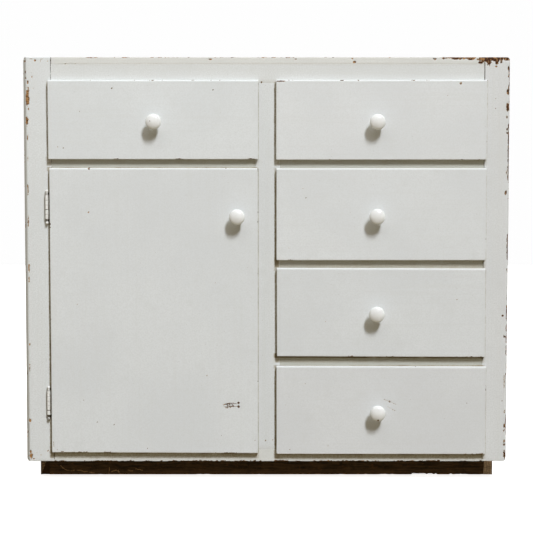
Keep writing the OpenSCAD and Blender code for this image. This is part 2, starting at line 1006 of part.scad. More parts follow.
module drawer_sides(d) {
  color(raw_wood)
    difference() {
      for (x = [box_x(d), box_x(d) + box_w() - drawer_side_t])
        block(x, x + drawer_side_t, lip_back_y, lip_back_y + drawer_len, d[1], d[1] + box_h(d));
      drawer_bottom_room(d);
      block(box_x(d) + drawer_side_t - back_slot_d,
            box_x(d) + box_w() - drawer_side_t + back_slot_d,
            back_end_y - drawer_side_t - board_play, back_end_y + board_play,
            d[1] + groove_z, d[1] + box_h(d) + 1);
    }
}

module drawer_back(d) {
  color(raw_wood)
    block(box_x(d) + drawer_side_t - back_slot_d + board_play,
          box_x(d) + box_w() - drawer_side_t + back_slot_d - board_play,
          back_end_y - drawer_side_t, back_end_y,
          d[1] + groove_z + drawer_bottom_t, d[1] + box_h(d) - back_drop);
}

module drawer_bottom(d) {
  color(raw_wood)
    block(box_x(d) + drawer_side_t - groove_d + board_play,
          box_x(d) + box_w() - drawer_side_t + groove_d - board_play,
          block_back_y - groove_d + board_play, back_end_y,
          d[1] + groove_z, d[1] + groove_z + drawer_bottom_t);
}

module drawer_knob(d) {
  color(porcelain)
    translate([d[3], front_face_y, knob_z(d)])
      knob();
}

module drawer_screw(d) {
  color(metal)
    translate([d[3], front_face_y, knob_z(d)])
      knob_screw();
}

// Catch and strike

// A small screw along +X into the partition for each hole of the catch
module at_catch_screws() {
  for (s = [-1, 1])
    translate([partition_x - leaf_t, catch_y + jaw_w / 2, catch_z + s * catch_screw_up])
      children();
}

module catch_screws() {
  at_catch_screws()
    small_screw();
}

module catch_body() {
  half = catch_half_h + catch_flange;
  color(metal)
    difference() {
      union() {
        block(partition_x - leaf_t, partition_x, catch_y, catch_y + jaw_w,
              catch_z - half, catch_z + half);
        for (s = [0, 1])
          translate([0, 0, catch_z])
            mirror([0, 0, s])
              catch_jaw();
      }
      at_catch_screws()
        small_screw_hole();
    }
}

// Upper jaw with its ball, above the middle of the catch
module catch_jaw() {
  block(partition_x - jaw_reach, partition_x - e, catch_y, catch_y + jaw_w,
        jaw_gap / 2, jaw_gap / 2 + jaw_t);
  drop = jaw_gap / 2 - tongue_t / 2 - ball_gap;
  intersection() {
    translate([tongue_x + tongue_w / 2, catch_y + jaw_w / 2, jaw_gap / 2 - drop + ball_r])
      sphere(ball_r);
    block(partition_x - jaw_reach, partition_x, catch_y, catch_y + jaw_w,
          0, jaw_gap / 2 + jaw_t);
  }
}

// Strike on the back of the door: a plate with two screws and a tongue between the jaws
module catch_strike() {
  color(metal)
    difference() {
      union() {
        block(tongue_x - 2, tongue_x + tongue_w + 2, block_back_y, block_back_y + leaf_t,
              catch_z - strike_half_h, catch_z + strike_half_h);
        block(tongue_x, tongue_x + tongue_w, block_back_y + leaf_t - e, catch_y + jaw_w * 0.8,
              catch_z - tongue_t / 2, catch_z + tongue_t / 2);
      }
      strike_holes();
    }
}

module at_strike_screws() {
  for (s = [-1, 1])
    translate([tongue_x + tongue_w / 2, block_back_y + leaf_t, catch_z + s * strike_screw_up])
      rotate([0, 0, -90])
        children();
}

module strike_screws() {
  at_strike_screws()
    strike_screw();
}

// A shorter screw of the same kind, so that it stays inside the door
module strike_screw() {
  rotate([0, 90, 0]) {
    cylinder(h = leaf_t, d1 = screw_head_d, d2 = screw_d);
    cylinder(h = front_t / 2 + leaf_t, d = screw_d);
  }
}

module strike_holes() {
  at_strike_screws()
    rotate([0, 90, 0]) {
      translate([0, 0, -e])
        cylinder(h = leaf_t + e, d1 = screw_head_d + 2 * pilot_play, d2 = screw_d + 2 * pilot_play);
      cylinder(h = front_t / 2 + leaf_t + 0.5, d = screw_d + 2 * pilot_play);
    }
}

side_panel_left();
side_panel_right();
partition();
bottom_board();
top_board();
back_panel();
stile_left();
stile_right();
stile_centre();
top_rail();
bottom_rail();
drawer_rails();
shelf();
shelf_cleats();
kick_board();
plinth_runners();
left_drawer_runners();
right_outer_runners();
right_inner_runners();
bottom_guides();
hinge_frame_leaves();
carcass_screws();
catch_body();
door_panel();
hinge_door_leaves();
hinge_pins();
door_screws();
door_knob();
door_knob_screw();
catch_strike();
drawer_front(left_drawer);  // left_drawer_front
drawer_sides(left_drawer);  // left_drawer_sides
drawer_back(left_drawer);  // left_drawer_back
drawer_bottom(left_drawer);  // left_drawer_bottom
drawer_knob(left_drawer);  // left_drawer_knob
drawer_screw(left_drawer);  // left_drawer_screw
drawer_front(first_drawer);  // first_drawer_front
drawer_sides(first_drawer);  // first_drawer_sides
drawer_back(first_drawer);  // first_drawer_back
drawer_bottom(first_drawer);  // first_drawer_bottom
drawer_knob(first_drawer);  // first_drawer_knob
drawer_screw(first_drawer);  // first_drawer_screw
drawer_front(second_drawer);  // second_drawer_front
drawer_sides(second_drawer);  // second_drawer_sides
drawer_back(second_drawer);  // second_drawer_back
drawer_bottom(second_drawer);  // second_drawer_bottom
drawer_knob(second_drawer);  // second_drawer_knob
drawer_screw(second_drawer);  // second_drawer_screw
drawer_front(third_drawer);  // third_drawer_front
drawer_sides(third_drawer);  // third_drawer_sides
drawer_back(third_drawer);  // third_drawer_back
drawer_bottom(third_drawer);  // third_drawer_bottom
drawer_knob(third_drawer);  // third_drawer_knob
drawer_screw(third_drawer);  // third_drawer_screw
drawer_front(fourth_drawer);  // fourth_drawer_front
drawer_sides(fourth_drawer);  // fourth_drawer_sides
drawer_back(fourth_drawer);  // fourth_drawer_back
drawer_bottom(fourth_drawer);  // fourth_drawer_bottom
drawer_knob(fourth_drawer);  // fourth_drawer_knob
drawer_screw(fourth_drawer);  // fourth_drawer_screw
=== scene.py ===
import math
import bmesh
import bpy
import numpy as np
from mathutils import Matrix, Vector


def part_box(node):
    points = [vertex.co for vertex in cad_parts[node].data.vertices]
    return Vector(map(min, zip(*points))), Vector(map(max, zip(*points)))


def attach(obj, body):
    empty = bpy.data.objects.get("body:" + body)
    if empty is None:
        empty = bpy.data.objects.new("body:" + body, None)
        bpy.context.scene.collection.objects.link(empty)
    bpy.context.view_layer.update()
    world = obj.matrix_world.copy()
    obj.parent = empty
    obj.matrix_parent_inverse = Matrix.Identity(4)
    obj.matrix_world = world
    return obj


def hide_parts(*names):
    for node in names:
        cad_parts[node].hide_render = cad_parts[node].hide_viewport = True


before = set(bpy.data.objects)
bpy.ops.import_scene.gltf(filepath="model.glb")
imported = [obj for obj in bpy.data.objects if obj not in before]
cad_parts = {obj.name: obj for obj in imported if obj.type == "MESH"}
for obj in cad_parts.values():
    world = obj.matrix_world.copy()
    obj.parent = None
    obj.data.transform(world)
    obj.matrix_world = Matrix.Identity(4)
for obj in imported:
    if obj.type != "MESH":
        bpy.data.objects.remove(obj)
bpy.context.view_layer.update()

MM = 0.001

# Camera, fitted to the edges of the cabinet in the photograph
CAMERA_BACK, CAMERA_HEIGHT = 3.5, 0.7162
CAMERA_PITCH = math.radians(4.226)
CAMERA_LENS, CAMERA_SENSOR = 112.80, 36.0

# Planes and edges of the frame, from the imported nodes
FACE_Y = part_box("stile_centre")[0].y
BEHIND_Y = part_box("partition")[0].y
LEFT_X, RIGHT_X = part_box("side_panel_left")[0].x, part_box("side_panel_right")[1].x
FOOT_Z, TOP_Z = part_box("bottom_rail")[0].z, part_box("top_board")[1].z
FLOOR_Z, TOP_BOARD_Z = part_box("bottom_rail")[1].z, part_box("top_board")[0].z
FRONT_Y = FACE_Y - 10.0 * MM
LIP_BACK_Y = FACE_Y - 0.5 * MM
# How far the fronts lie over the frame
LIP_OVER = 6.5 * MM
OPEN_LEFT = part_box("left_drawer_front")[0].x + LIP_OVER
OPEN_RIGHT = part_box("first_drawer_front")[1].x - LIP_OVER
STILE_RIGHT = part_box("second_drawer_front")[0].x + LIP_OVER

# Edges of a slab
LEFT, RIGHT, FOOT, HEAD = 0, 1, 2, 3

# Wear seen in the photograph, across and up on the front: middle, half width, half height and
# how deep the paint has gone
SPOTS = [
    (-499, 812, 3.6, 19, 1.0), (-497, 826, 1.8, 7, 1.0), (-500.5, 762, 3.0, 10, 1.0),
    (-496.5, 787, 1.6, 3, 0.8), (-499.5, 727, 1.5, 6, 0.7), (-499, 683, 1.4, 5, 0.6),
    (-500, 619, 1.4, 16, 0.7), (-500, 551, 1.4, 15, 0.7), (-499, 456, 1.8, 9, 0.9),
    (-499.5, 430, 1.3, 7, 0.7), (-499, 293, 1.6, 3, 0.8), (-500, 243, 1.2, 10, 0.6),
    (-500.5, 131, 2.2, 4, 1.0), (-500, 64, 2.2, 2.4, 1.2), (-498.5, 55, 3.2, 5.5, 1.0),
    (-493, 49, 2.0, 1.6, 0.9), (-483, 888, 2.4, 2.0, 0.9), (-471, 887, 1.8, 1.8, 0.7),
    (-489, 854, 1.4, 2.2, 0.8), (-498, 842, 1.5, 4, 0.9), (-487, 830, 1.4, 1.4, 0.7),
    (-117, 890.5, 4.0, 1.4, 0.9), (61, 890.5, 2.4, 1.2, 0.8), (183, 884.5, 3.6, 2.2, 0.9),
    (178, 892, 3.0, 1.4, 0.9), (351, 891, 4.0, 2.0, 0.9), (369, 892, 5.0, 1.4, 0.9),
    (397, 891, 9.5, 2.2, 1.0), (411, 892, 3.0, 1.3, 0.9), (426, 891, 8.0, 2.4, 1.0),
    (452, 889.5, 12, 3.6, 1.0), (463, 886.5, 5.5, 7.5, 1.0), (470, 891, 13, 3.2, 1.0),
    (446, 884, 5, 3.0, 1.0), (481, 889, 8, 3.0, 1.0), (479.5, 884, 3.2, 4.4, 1.0),
    (489, 885, 3.2, 2.6, 0.9), (499, 890.5, 8.5, 3.4, 1.0), (505, 872, 2.0, 4.0, 0.9),
    (504, 823, 2.4, 6.5, 1.0), (503, 791, 3.2, 7.5, 1.0), (502, 770, 2.0, 3.0, 0.8),
    (503, 746, 1.8, 3.5, 0.9), (502.5, 737, 2.0, 2.2, 0.8), (501.5, 612, 2.6, 4.2, 1.0),
    (502, 655, 1.4, 4.0, 0.8), (498, 354, 2.6, 2.2, 1.0), (500.5, 310, 2.0, 3.0, 0.9),
    (502, 214, 1.4, 14, 0.7), (503, 150, 1.6, 4.0, 0.8), (503, 120, 1.5, 4.5, 0.8),
    (503, 87, 2.2, 3.2, 1.0), (503, 79, 2.2, 2.6, 0.9), (503.5, 60, 2.2, 7.5, 1.0),
    (503, 110, 1.6, 2.6, 0.9), (479, 875, 2.2, 1.8, 0.8),
    (-449, 82, 1.2, 6.5, 0.62), (-440, 71, 4.5, 1.1, 0.62), (-431, 66, 4.0, 1.0, 0.62),
    (-463, 66, 1.6, 1.6, 0.85), (404, 840, 2.4, 2.2, 0.9), (259.5, 173, 1.6, 2.6, 0.56),
    (-371, 663, 2.2, 2.0, 1.0), (30, 844.5, 8.0, 1.6, 0.8), (-11, 843, 2.0, 2.0, 0.7),
    (-2, 88, 2.2, 1.8, 0.7), (-504, 886, 1.6, 2.2, 1.0), (-503, 864, 1.4, 2.6, 0.9),
    (-502.5, 852, 1.3, 2.6, 0.8), (-456, 886, 1.6, 1.2, 0.7), (-490, 891.5, 3.0, 1.0, 0.6),
    (-468, 891.5, 3.0, 0.9, 0.55), (-419, 881, 1.6, 1.2, 0.8), (-398, 881, 1.5, 1.0, 0.7),
    (-487, 829, 1.2, 1.6, 0.6), (-478, 57, 3.0, 1.0, 0.54), (-485, 61.5, 2.6, 0.8, 0.50),
    (13, 89, 1.6, 1.4, 0.8),
]
# Specks: middle and radius
SPECKS = [
    (-322, 830, 1.5), (-112, 827, 1.3), (-423, 705, 0.8), (-436, 709, 0.6), (-390, 782, 0.6),
    (-372, 572, 1.5), (-397, 378, 0.8), (-62, 464, 0.6), (-107, 424, 0.6), (-125, 227, 1.0),
    (-386, 176, 0.9), (-357, 129, 1.0), (-322, 124, 1.0), (-251, 74, 0.9), (-95, 100, 0.7),
    (-97, 85, 0.6), (-24, 90, 0.8), (-59, 170, 2.1), (-59, 162, 2.3), (378, 815, 0.6),
    (83, 602, 1.0), (77, 622, 0.6), (46, 498, 0.7), (124, 342, 0.8), (399, 389, 0.6),
    (422, 170, 1.3), (82, 210, 0.8), (50, 70, 0.8), (130, 79, 0.6), (478, 809, 0.8),
    (478, 788, 0.9), (498, 173, 1.0),
]
# Scratches: from, to, half width and depth
SCRATCHES = [
    (-94, 166.5, -60, 168.5, 0.55, 0.85), (-93, 161.0, -58, 163.0, 0.45, 0.80),
    (-90, 170.5, -72, 158.0, 0.45, 0.75), (-84, 171.5, -82, 156.5, 0.45, 0.80),
    (-79, 171.0, -76, 157.5, 0.50, 0.85), (-92, 164.0, -78, 169.5, 0.40, 0.70),
    (-74, 170.0, -69, 160.0, 0.40, 0.70), (-88, 158.0, -66, 165.5, 0.40, 0.70),
    (-86, 168.8, -66, 170.2, 0.40, 0.70), (-91, 163.0, -80, 157.6, 0.40, 0.70),
    (245, 178.5, 262, 171.0, 0.50, 0.66), (258, 174.0, 276, 165.0, 0.45, 0.64),
    (252, 164.0, 272, 151.5, 0.40, 0.62), (262, 159.0, 277, 150.0, 0.35, 0.60),
    (454.9, 887, 455.0, 848, 0.50, 1.0),
]

# What differs from front to front. chipped and reach are the share of the left, right, foot and
# head edge that is chipped, and how far in. up and across are how far the corners have moved,
# foot left, foot right, head left and head right. grime_and_shade_near is the strength of the
# dark line along the right edge: grime, and painted shade of the gap beside it. frame is the
# darkening painted on the frame round the front, grime and painted shade: its strength in the
# shadow under the foot and how far down, at the left in the shadow there, at the right and
# above the head. painted_contact_shadow is how dark the painted shadow line is where the foot
# meets the frame. fine are the ranges with finer lines and their step.
FRONTS = {
    "left_drawer": dict(
        seed=11, tone=(0.786, 0.812, 0.816), chipped=(0.10, 0.22, 0.37, 0.26),
        reach=(1.6, 1.6, 1.2, 1.6), up=(0.1, 0.1, -0.3, -0.3), across=(1.2, 0, 0.7, 0),
        grime_and_shade_near=1.2, frame=(0.20, 13.5, 0.80, 0.15, 0), painted_contact_shadow=0.50),
    "first_drawer": dict(
        seed=23, tone=(0.797, 0.818, 0.822), chipped=(0.16, 0.30, 0.32, 0.30),
        reach=(1.8, 1.8, 1.2, 1.8), up=(0.1, 0.3, -0.1, -0.1), across=(-1.4, -1.5, -1.4, -1.2),
        grime_and_shade_near=1.1, frame=(0.20, 13, 0.85, 0.15, 0), painted_contact_shadow=0.50),
    "second_drawer": dict(
        seed=37, tone=(0.795, 0.818, 0.822), chipped=(0.12, 0.22, 0.27, 0.16),
        reach=(1.6, 1.8, 1.2, 1.4), up=(-1.0, -1.0, 0.3, 0.4), across=(-0.6, -1.4, -0.8, -1.4),
        grime_and_shade_near=1.1, frame=(0.26, 17, 1.15, 0.12, 0.55), painted_contact_shadow=0.62),
    "third_drawer": dict(
        seed=51, tone=(0.777, 0.800, 0.804), chipped=(0.14, 0.16, 0.34, 0.20),
        reach=(1.6, 1.6, 1.2, 1.4), up=(1.6, -0.2, 0.4, -0.8), across=(0.5, -1.2, 0, -1.5),
        grime_and_shade_near=1.35, frame=(0.45, 13, 0.95, 0.15, 0.55), painted_contact_shadow=1.6),
    "fourth_drawer": dict(
        seed=67, tone=(0.772, 0.790, 0.794), chipped=(0.10, 0.26, 0.35, 0.18),
        reach=(1.6, 1.6, 1.2, 1.6), up=(0.7, 0.2, 0.5, -1.0), across=(-0.4, 1.5, -0.6, 1.5),
        grime_and_shade_near=1.3, frame=(0.66, 12, 1.15, 0.20, 1.0), painted_contact_shadow=1.20,
        fine={"fine_x": [(243, 279, 1.0)], "fine_z": [(149, 181, 1.0)]}),
    "door": dict(
        seed=83, tone=(0.782, 0.806, 0.810), chipped=(0.22, 0.30, 0.36, 0.20),
        reach=(1.8, 1.8, 1.2, 1.6), up=(2.2, 0.3, -0.1, -0.4), across=(0.4, -0.6, 0, -0.6),
        grime_and_shade_near=1.5, frame=(0.66, 12, 1.0, 0.45, 1.0), painted_contact_shadow=1.15,
        fine={"fine_x": [(-97, -54, 0.8)], "fine_z": [(154, 174, 0.8)]}),
}
DRAWERS = [name for name in FRONTS if name != "door"]
FRONT_NODES = {name: name + "_front" for name in DRAWERS} | {"door": "door_panel"}
# Thickness of the drawers' sides, and how far the door's block lies in from its lip at the left
# and elsewhere
DRAWER_SIDE, DOOR_BLOCK_LEFT, DOOR_BLOCK_IN = 12.0 * MM, 6.5 * MM, 8.5 * MM

# Sections of eased edges: how far in, and how far the face lies back there
HEAD_BEVEL = [(0, 2.6), (0.3, 1.9), (1.5, 0.62), (2.1, 0.2), (2.8, 0)]
FOOT_EDGE = [(0, 0.6), (0.1, 0.28), (0.3, 0.08), (0.6, 0), (1.4, -0.12), (2.2, -0.08), (3.4, 0)]
LEFT_SIDE = [(0, 0.9), (0.15, 0.45), (0.4, 0.15), (0.75, 0), (1.4, -0.1), (2.4, -0.07), (3.6, 0)]
SIDE_EDGE = [(0, 1.3), (0.2, 0.75), (0.5, 0.32), (0.95, 0.06), (1.3, 0), (2.2, -0.08),
             (3.4, -0.05), (4.6, 0)]
LEFT_EDGE = [(0, 8.8), (0.4, 7.8), (1.2, 6.8), (2.4, 5.3), (3.8, 3.3), (5.2, 1.5), (6.4, 0.45),
             (7.6, 0.08), (9, 0)]

# Paints of the frame, and the woods under them
FRAME_PAINT = (0.772, 0.788, 0.752)
LEFT_STILE, RIGHT_STILE = (0.812, 0.836, 0.836), (0.778, 0.794, 0.794)
CENTRE_STILE, TOP_RAIL = (0.766, 0.788, 0.788), (0.772, 0.790, 0.780)
# RAILS_GRIMED_AND_SHADED, the paint of the drawer rails, is much darker than the rest: grime, and
# painted shade of the recess between the fronts' lips.
TOP_EDGE, BOTTOM_RAIL, RAILS_GRIMED_AND_SHADED = (0.768, 0.774, 0.746), (0.770, 0.785, 0.757), (0.560, 0.566, 0.512)
UNDERCOAT = (0.66, 0.57, 0.43)
WOOD_DEEP, WOOD_TAN = (0.062, 0.021, 0.005), (0.42, 0.225, 0.088)

# Dark spots beside the hinge tips, open paint and painted shade of the gaps there: middle, half
# width, half height, strength
HINGE_DIRT_AND_SHADE = [
    (-456.2, 610.5, 1.3, 5.0, 1.0), (-458.5, 609.5, 2.4, 1.8, 0.8), (-459.5, 554.5, 3.6, 3.2, 1.0),
    (-455.9, 556.0, 1.3, 3.0, 1.0), (-458.0, 547.0, 3.5, 3.0, 0.5), (-457.0, 199.5, 1.3, 5.0, 1.0),
    (-457.5, 141.5, 3.4, 4.0, 1.0), (-462.0, 136.5, 3.4, 4.0, 0.6), (-456.5, 141.0, 1.4, 5.0, 1.0),
]
# Dark seams between the hinge knuckles, and painted shade at the necks of the tips: height, half
# height and strength
HINGE_SEAMS_AND_SHADE = [
    (609.6, 2.0, 0.45), (597.2, 0.5, 0.45), (587.4, 0.4, 0.30), (577.6, 0.8, 0.75),
    (567.8, 0.5, 0.50), (555.2, 2.6, 0.80), (196.0, 1.6, 0.40), (183.2, 0.4, 0.30),
    (173.4, 0.5, 0.45), (163.6, 0.4, 0.30), (153.8, 0.9, 0.80), (141.5, 2.8, 0.9),
    (134.5, 3.5, 0.60),
]

# Bites in the foot of the kick board: from, to and height. Splits in its face: a bent line, and
# short ones from place to place
BITES = [(315, 330, 3.6), (331, 345, 4.6), (347, 361, 2.2), (364, 369, 2.2), (397, 402, 1.4),
         (419, 423, 1.1)]
LONG_SPLIT = [(-446, 20), (-441, 14), (-434, 10), (-424, 8.5), (-412, 9.5), (-402, 8.5),
              (-395, 6), (-384, 4.5), (-372, 2.5)]
SHORT_SPLITS = [(-340.5, 15, -341.5, 4), (-336, 6, -326, 9), (-326, 9, -318, 5),
                (-322, 12, -321, 5), (-300, 9, -290, 7), (-284, 12, -268, 9)]


# Noise on arrays of points

def lattice(ix, iy, iz, seed):
    """A number from 0 to 1 for each whole-numbered place."""
    h = (ix * 73856093) ^ (iy * 19349663) ^ (iz * 83492791) ^ (seed * 2654435761)
    h &= 0xFFFFFFFF
    for _ in range(2):
        h = ((h ^ (h >> 16)) * 0x45D9F3B) & 0xFFFFFFFF
    return ((h ^ (h >> 16)) & 0xFFFFFF) / float(0xFFFFFF)


def value_noise(points, seed):
    """Smooth noise from 0 to 1 on an array of points whose cells are 1 wide."""
    base = np.floor(points).astype(np.int64)
    f = points - base
    f = f * f * (3 - 2 * f)
    out = np.zeros(len(points))
    for corner in np.ndindex(2, 2, 2):
        weight = np.prod([f[:, i] if c else 1 - f[:, i] for i, c in enumerate(corner)], 0)
        out += weight * lattice(*(base[:, i] + c for i, c in enumerate(corner)), seed)
    return out


def fractal(points, cell, seed, octaves=3):
    """Noise of several octaves, stretched so that it fills 0 to 1."""
    total, weight, size = np.zeros(len(points)), 0.0, 1.0
    for k in range(octaves):
        total += size * value_noise(points / cell * 2 ** k + 17.3 * k, seed + 101 * k)
        weight += size
        size *= 0.55
    return np.clip((total / weight - 0.5) * 1.7 + 0.5, 0, 1)


def ramp(low, high, t):
    """A smooth step from 0 at low to 1 at high, which may lie either way round."""
    t = np.clip((t - low) / (high - low), 0, 1)
    return t * t * (3 - 2 * t)


def along_line(values, apart=0.0):
    """Points on a line, so that noise on them changes along it alone."""
    return np.stack([values, np.full(len(values), apart), np.zeros(len(values))], 1)


def segment_distance(x, z, x0, z0, x1, z1):
    """Distance of points from a segment, and the share of its length that they lie along."""
    length = math.hypot(x1 - x0, z1 - z0)
    ux, uz = (x1 - x0) / length, (z1 - z0) / length
    along = np.clip((x - x0) * ux + (z - z0) * uz, 0, length)
    return np.hypot(x - x0 - along * ux, z - z0 - along * uz), along / length


def worn_front(p):
    """How far the paint has gone at points on the front of the cabinet: 0 is whole, 1 is bare."""
    x, z = p[:, 0] / MM, p[:, 2] / MM
    wobble = fractal(p, 2.6 * MM, 5) - 0.5
    out = np.zeros(len(p))
    for sx, sz, rx, rz, depth in SPOTS:
        near = (np.abs(x - sx) < 2 * rx + 2) & (np.abs(z - sz) < 2 * rz + 2)
        if near.any():
            q = np.hypot((x[near] - sx) / rx, (z[near] - sz) / rz) + wobble[near] * 0.9
            out[near] = np.maximum(out[near], depth * ramp(1.5, 0.55, q))
    for x0, z0, x1, z1, half, depth in SCRATCHES:
        near = ((x > min(x0, x1) - 3) & (x < max(x0, x1) + 3)
                & (z > min(z0, z1) - 3) & (z < max(z0, z1) + 3))
        if near.any():
            d, along = segment_distance(x[near], z[near], x0, z0, x1, z1)
            taper = np.minimum(1, 4 * np.minimum(along, 1 - along) + 0.25)
            out[near] = np.maximum(out[near], depth * ramp(half * 2.2, half * 0.4, d) * taper)
    return out


# Worn slabs

def edge_profile(spec, arc=5):
    """Insets and depths of an eased edge in metres, from its radius or its section."""
    if isinstance(spec, (int, float)):
        turns = [math.pi / 2 * i / arc for i in range(arc + 1)]
        spec = [(spec * (1 - math.cos(t)), spec * (1 - math.sin(t))) for t in turns]
    return np.array(spec, float) * MM


def grid_lines(low, high, start, end, step, fine, specks):
    """Places of the grid lines from low to high, with the lines of the eased ends and one
    through each speck."""
    a, b = low + start[-1, 0], high - end[-1, 0]
    inner = list(np.linspace(a, b, max(2, int(round((b - a) / step)) + 1)))
    for f0, f1, fine_step in fine:
        f0, f1 = max(f0 * MM, a), min(f1 * MM, b)
        fine_step *= MM
        if f1 > f0:
            inner = [v for v in inner if v < f0 - fine_step / 2 or v > f1 + fine_step / 2]
            inner += list(np.linspace(f0, f1, int(round((f1 - f0) / fine_step)) + 1))
    inner = sorted(inner)
    moved = set()
    for s in specks:
        free = [i for i in range(1, len(inner) - 1) if i not in moved]
        if free and a < s < b:
            i = min(free, key=lambda k: abs(inner[k] - s))
            if inner[i - 1] < s < inner[i + 1] and abs(inner[i] - s) < step:
                inner[i] = s
                moved.add(i)
    return np.array([low + e for e in start[:-1, 0]] + sorted(inner)
                    + [high - e for e in end[-2::-1, 0]])


def round_depth(v, low, high, start, end):
    """How far the eased ends set the face back at places v."""
    out = np.zeros(len(v))
    for profile, inset in ((start, v - low), (end, high - v)):
        here = np.interp(inset, profile[:, 0], profile[:, 1])
        out = np.where(here > 0, np.maximum(out, here), out + here)
    return out


def slab(x, z, y_front, y_back, r=(0.6, 0.6, 0.6, 0.6), corner=(0, 0, 0, 0), step=2.0,
         side_step=2.0, fine_x=(), fine_z=()):
    """A closed slab with a fine grid on its front. r eases the edge at the left, right, foot
    and head, by radius or section. corner rounds the corners foot left, foot right, head left
    and head right. Returns points, faces and what wear needs."""
    r = [edge_profile(v) for v in r]
    inside = [s for s in SPECKS if x[0] < s[0] * MM < x[1] and z[0] < s[1] * MM < z[1]]
    xs = grid_lines(*x, r[LEFT], r[RIGHT], step * MM, fine_x, [s[0] * MM for s in inside])
    zs = grid_lines(*z, r[FOOT], r[HEAD], step * MM, fine_z, [s[1] * MM for s in inside])
    nx, nz = len(xs), len(zs)
    gx, gz = np.meshgrid(xs, zs, indexing="ij")
    across = round_depth(xs, *x, r[LEFT], r[RIGHT])[:, None]
    up = round_depth(zs, *z, r[FOOT], r[HEAD])[None, :]
    deeper = np.maximum(across, up)
    depth = np.where(deeper > 0, deeper, np.minimum(across, up))
    front = np.stack([gx.ravel(), (y_front + depth).ravel(), gz.ravel()], 1)
    ids = np.arange(nx * nz).reshape(nx, nz)
    quads = np.stack([ids[:-1, :-1], ids[1:, :-1], ids[1:, 1:], ids[:-1, 1:]], -1).reshape(-1, 4)
    ring = np.concatenate([ids[:-1, 0], ids[-1, :-1], ids[:0:-1, -1], ids[0, :0:-1]])
    edge_y = front[ring, 1]
    layers = max(1, int(round((y_back - edge_y.min()) / (side_step * MM))))
    points, faces = [front], [quads]
    last, count = ring, nx * nz
    for k in range(1, layers + 1):
        layer = front[ring].copy()
        layer[:, 1] = edge_y + (y_back - edge_y) * k / layers
        points.append(layer)
        now = np.arange(count, count + len(ring))
        faces.append(np.stack([last, now, np.roll(now, -1), np.roll(last, -1)], -1))
        last, count = now, count + len(ring)
    points = np.concatenate(points)
    faces = [tuple(q) for q in np.concatenate(faces).tolist()] + [tuple(last[::-1].tolist())]
    inset = np.stack([points[:, 0] - x[0], x[1] - points[:, 0],
                      points[:, 2] - z[0], z[1] - points[:, 2]], 1)
    flat = points.copy()
    for c, (side, level) in zip(corner, ((LEFT, FOOT), (RIGHT, FOOT), (LEFT, HEAD), (RIGHT, HEAD))):
        c *= MM
        k = (inset[:, side] < c) & (inset[:, level] < c)
        a, b = c - inset[k, side], c - inset[k, level]
        scale = np.maximum(a, b) / np.maximum(np.hypot(a, b), 1e-9)
        points[k, 0] += (a - a * scale) * (1 if side == LEFT else -1)
        points[k, 2] += (b - b * scale) * (1 if level == FOOT else -1)
    return {"points": points, "flat": flat, "faces": faces, "inset": inset,
            "behind": points[:, 1] - y_front, "reach": [v[:, 1].max() for v in r],
            "specks": inside, "front": nx * nz, "x": x, "z": z}


def edge_wear(s, amounts, widths, seed):
    """Chips along the four edges of a slab. amounts is the share of each edge that is chipped,
    widths how far the chips reach, for the left, right, foot and head edges."""
    p, flat = s["points"], s["flat"]
    jitter = (fractal(p, 3.0 * MM, seed + 7) - 0.5) * 3.0 * MM
    out = np.zeros(len(p))
    for k, amount in enumerate(amounts):
        if amount <= 0:
            continue
        line = along_line(flat[:, 2] if k < FOOT else flat[:, 0], 0.37 * k)
        n = 0.62 * fractal(line, 26 * MM, seed + 31 * k) + 0.38 * fractal(line, 6 * MM, seed + 53 * k)
        width = widths[k] * MM * ramp(1 - amount - 0.06, 1 - amount + 0.22, n)
        distance = s["inset"][:, k] + np.maximum(0, s["behind"] - s["reach"][k]) + jitter
        here = ramp(1.25, 0.6, distance / np.maximum(width, 1e-6))
        out = np.maximum(out, np.where(width > 0.3 * MM, here, 0))
    return out


def crack_lines(s, sides, seed):
    """Open joint lines on the given sides of a slab, broken where paint still bridges them."""
    flat = s["flat"]
    out = np.zeros(len(flat))
    for k, strength in sides.items():
        line = along_line(flat[:, 2] if k < FOOT else flat[:, 0], 1.7 * k)
        n = fractal(line, 7 * MM, seed + 11 * k)
        out = np.maximum(out, strength * ramp(1.5 * MM, 0.5 * MM, s["inset"][:, k])
                         * (0.30 + 0.70 * ramp(0.30, 0.55, n)))
    return out


def grime_and_shade_near(s, sides, seed):
    """Grime, and in places painted shade, near the given sides of a slab, to a strength and a reach.
    """
    out = np.zeros(len(s["flat"]))
    for k, (strength, reach) in sides.items():
        n = fractal(s["flat"], 14 * MM, seed + 13 * k)
        out = np.maximum(out, strength * (0.4 + 0.8 * n)
                         * ramp(reach * MM, 0, s["inset"][:, k] + np.maximum(0, s["behind"])))
    return out


def seen_wear(s, chip, within):
    """Adds the wear seen in the photograph to the face and the first millimetres behind it,
    and each speck to the grid points that it lies on."""
    seen = s["behind"] < within * MM
    chip[seen] = np.maximum(chip[seen], worn_front(s["flat"][seen]))
    k = s["front"]
    for sx, sz, radius in s["specks"]:
        d = np.hypot(s["flat"][:k, 0] - sx * MM, s["flat"][:k, 2] - sz * MM)
        i = int(np.argmin(d))
        if radius < 1.5:
            chip[i] = max(chip[i], 0.5 / max(0.25, 1 - radius / 2.0))
        else:
            chip[i] = 2.0
            near = d < radius * MM * 1.5
            chip[:k][near] = np.maximum(chip[:k][near], ramp(1.8, 0.5, d[near] / (radius * MM)))
    return chip


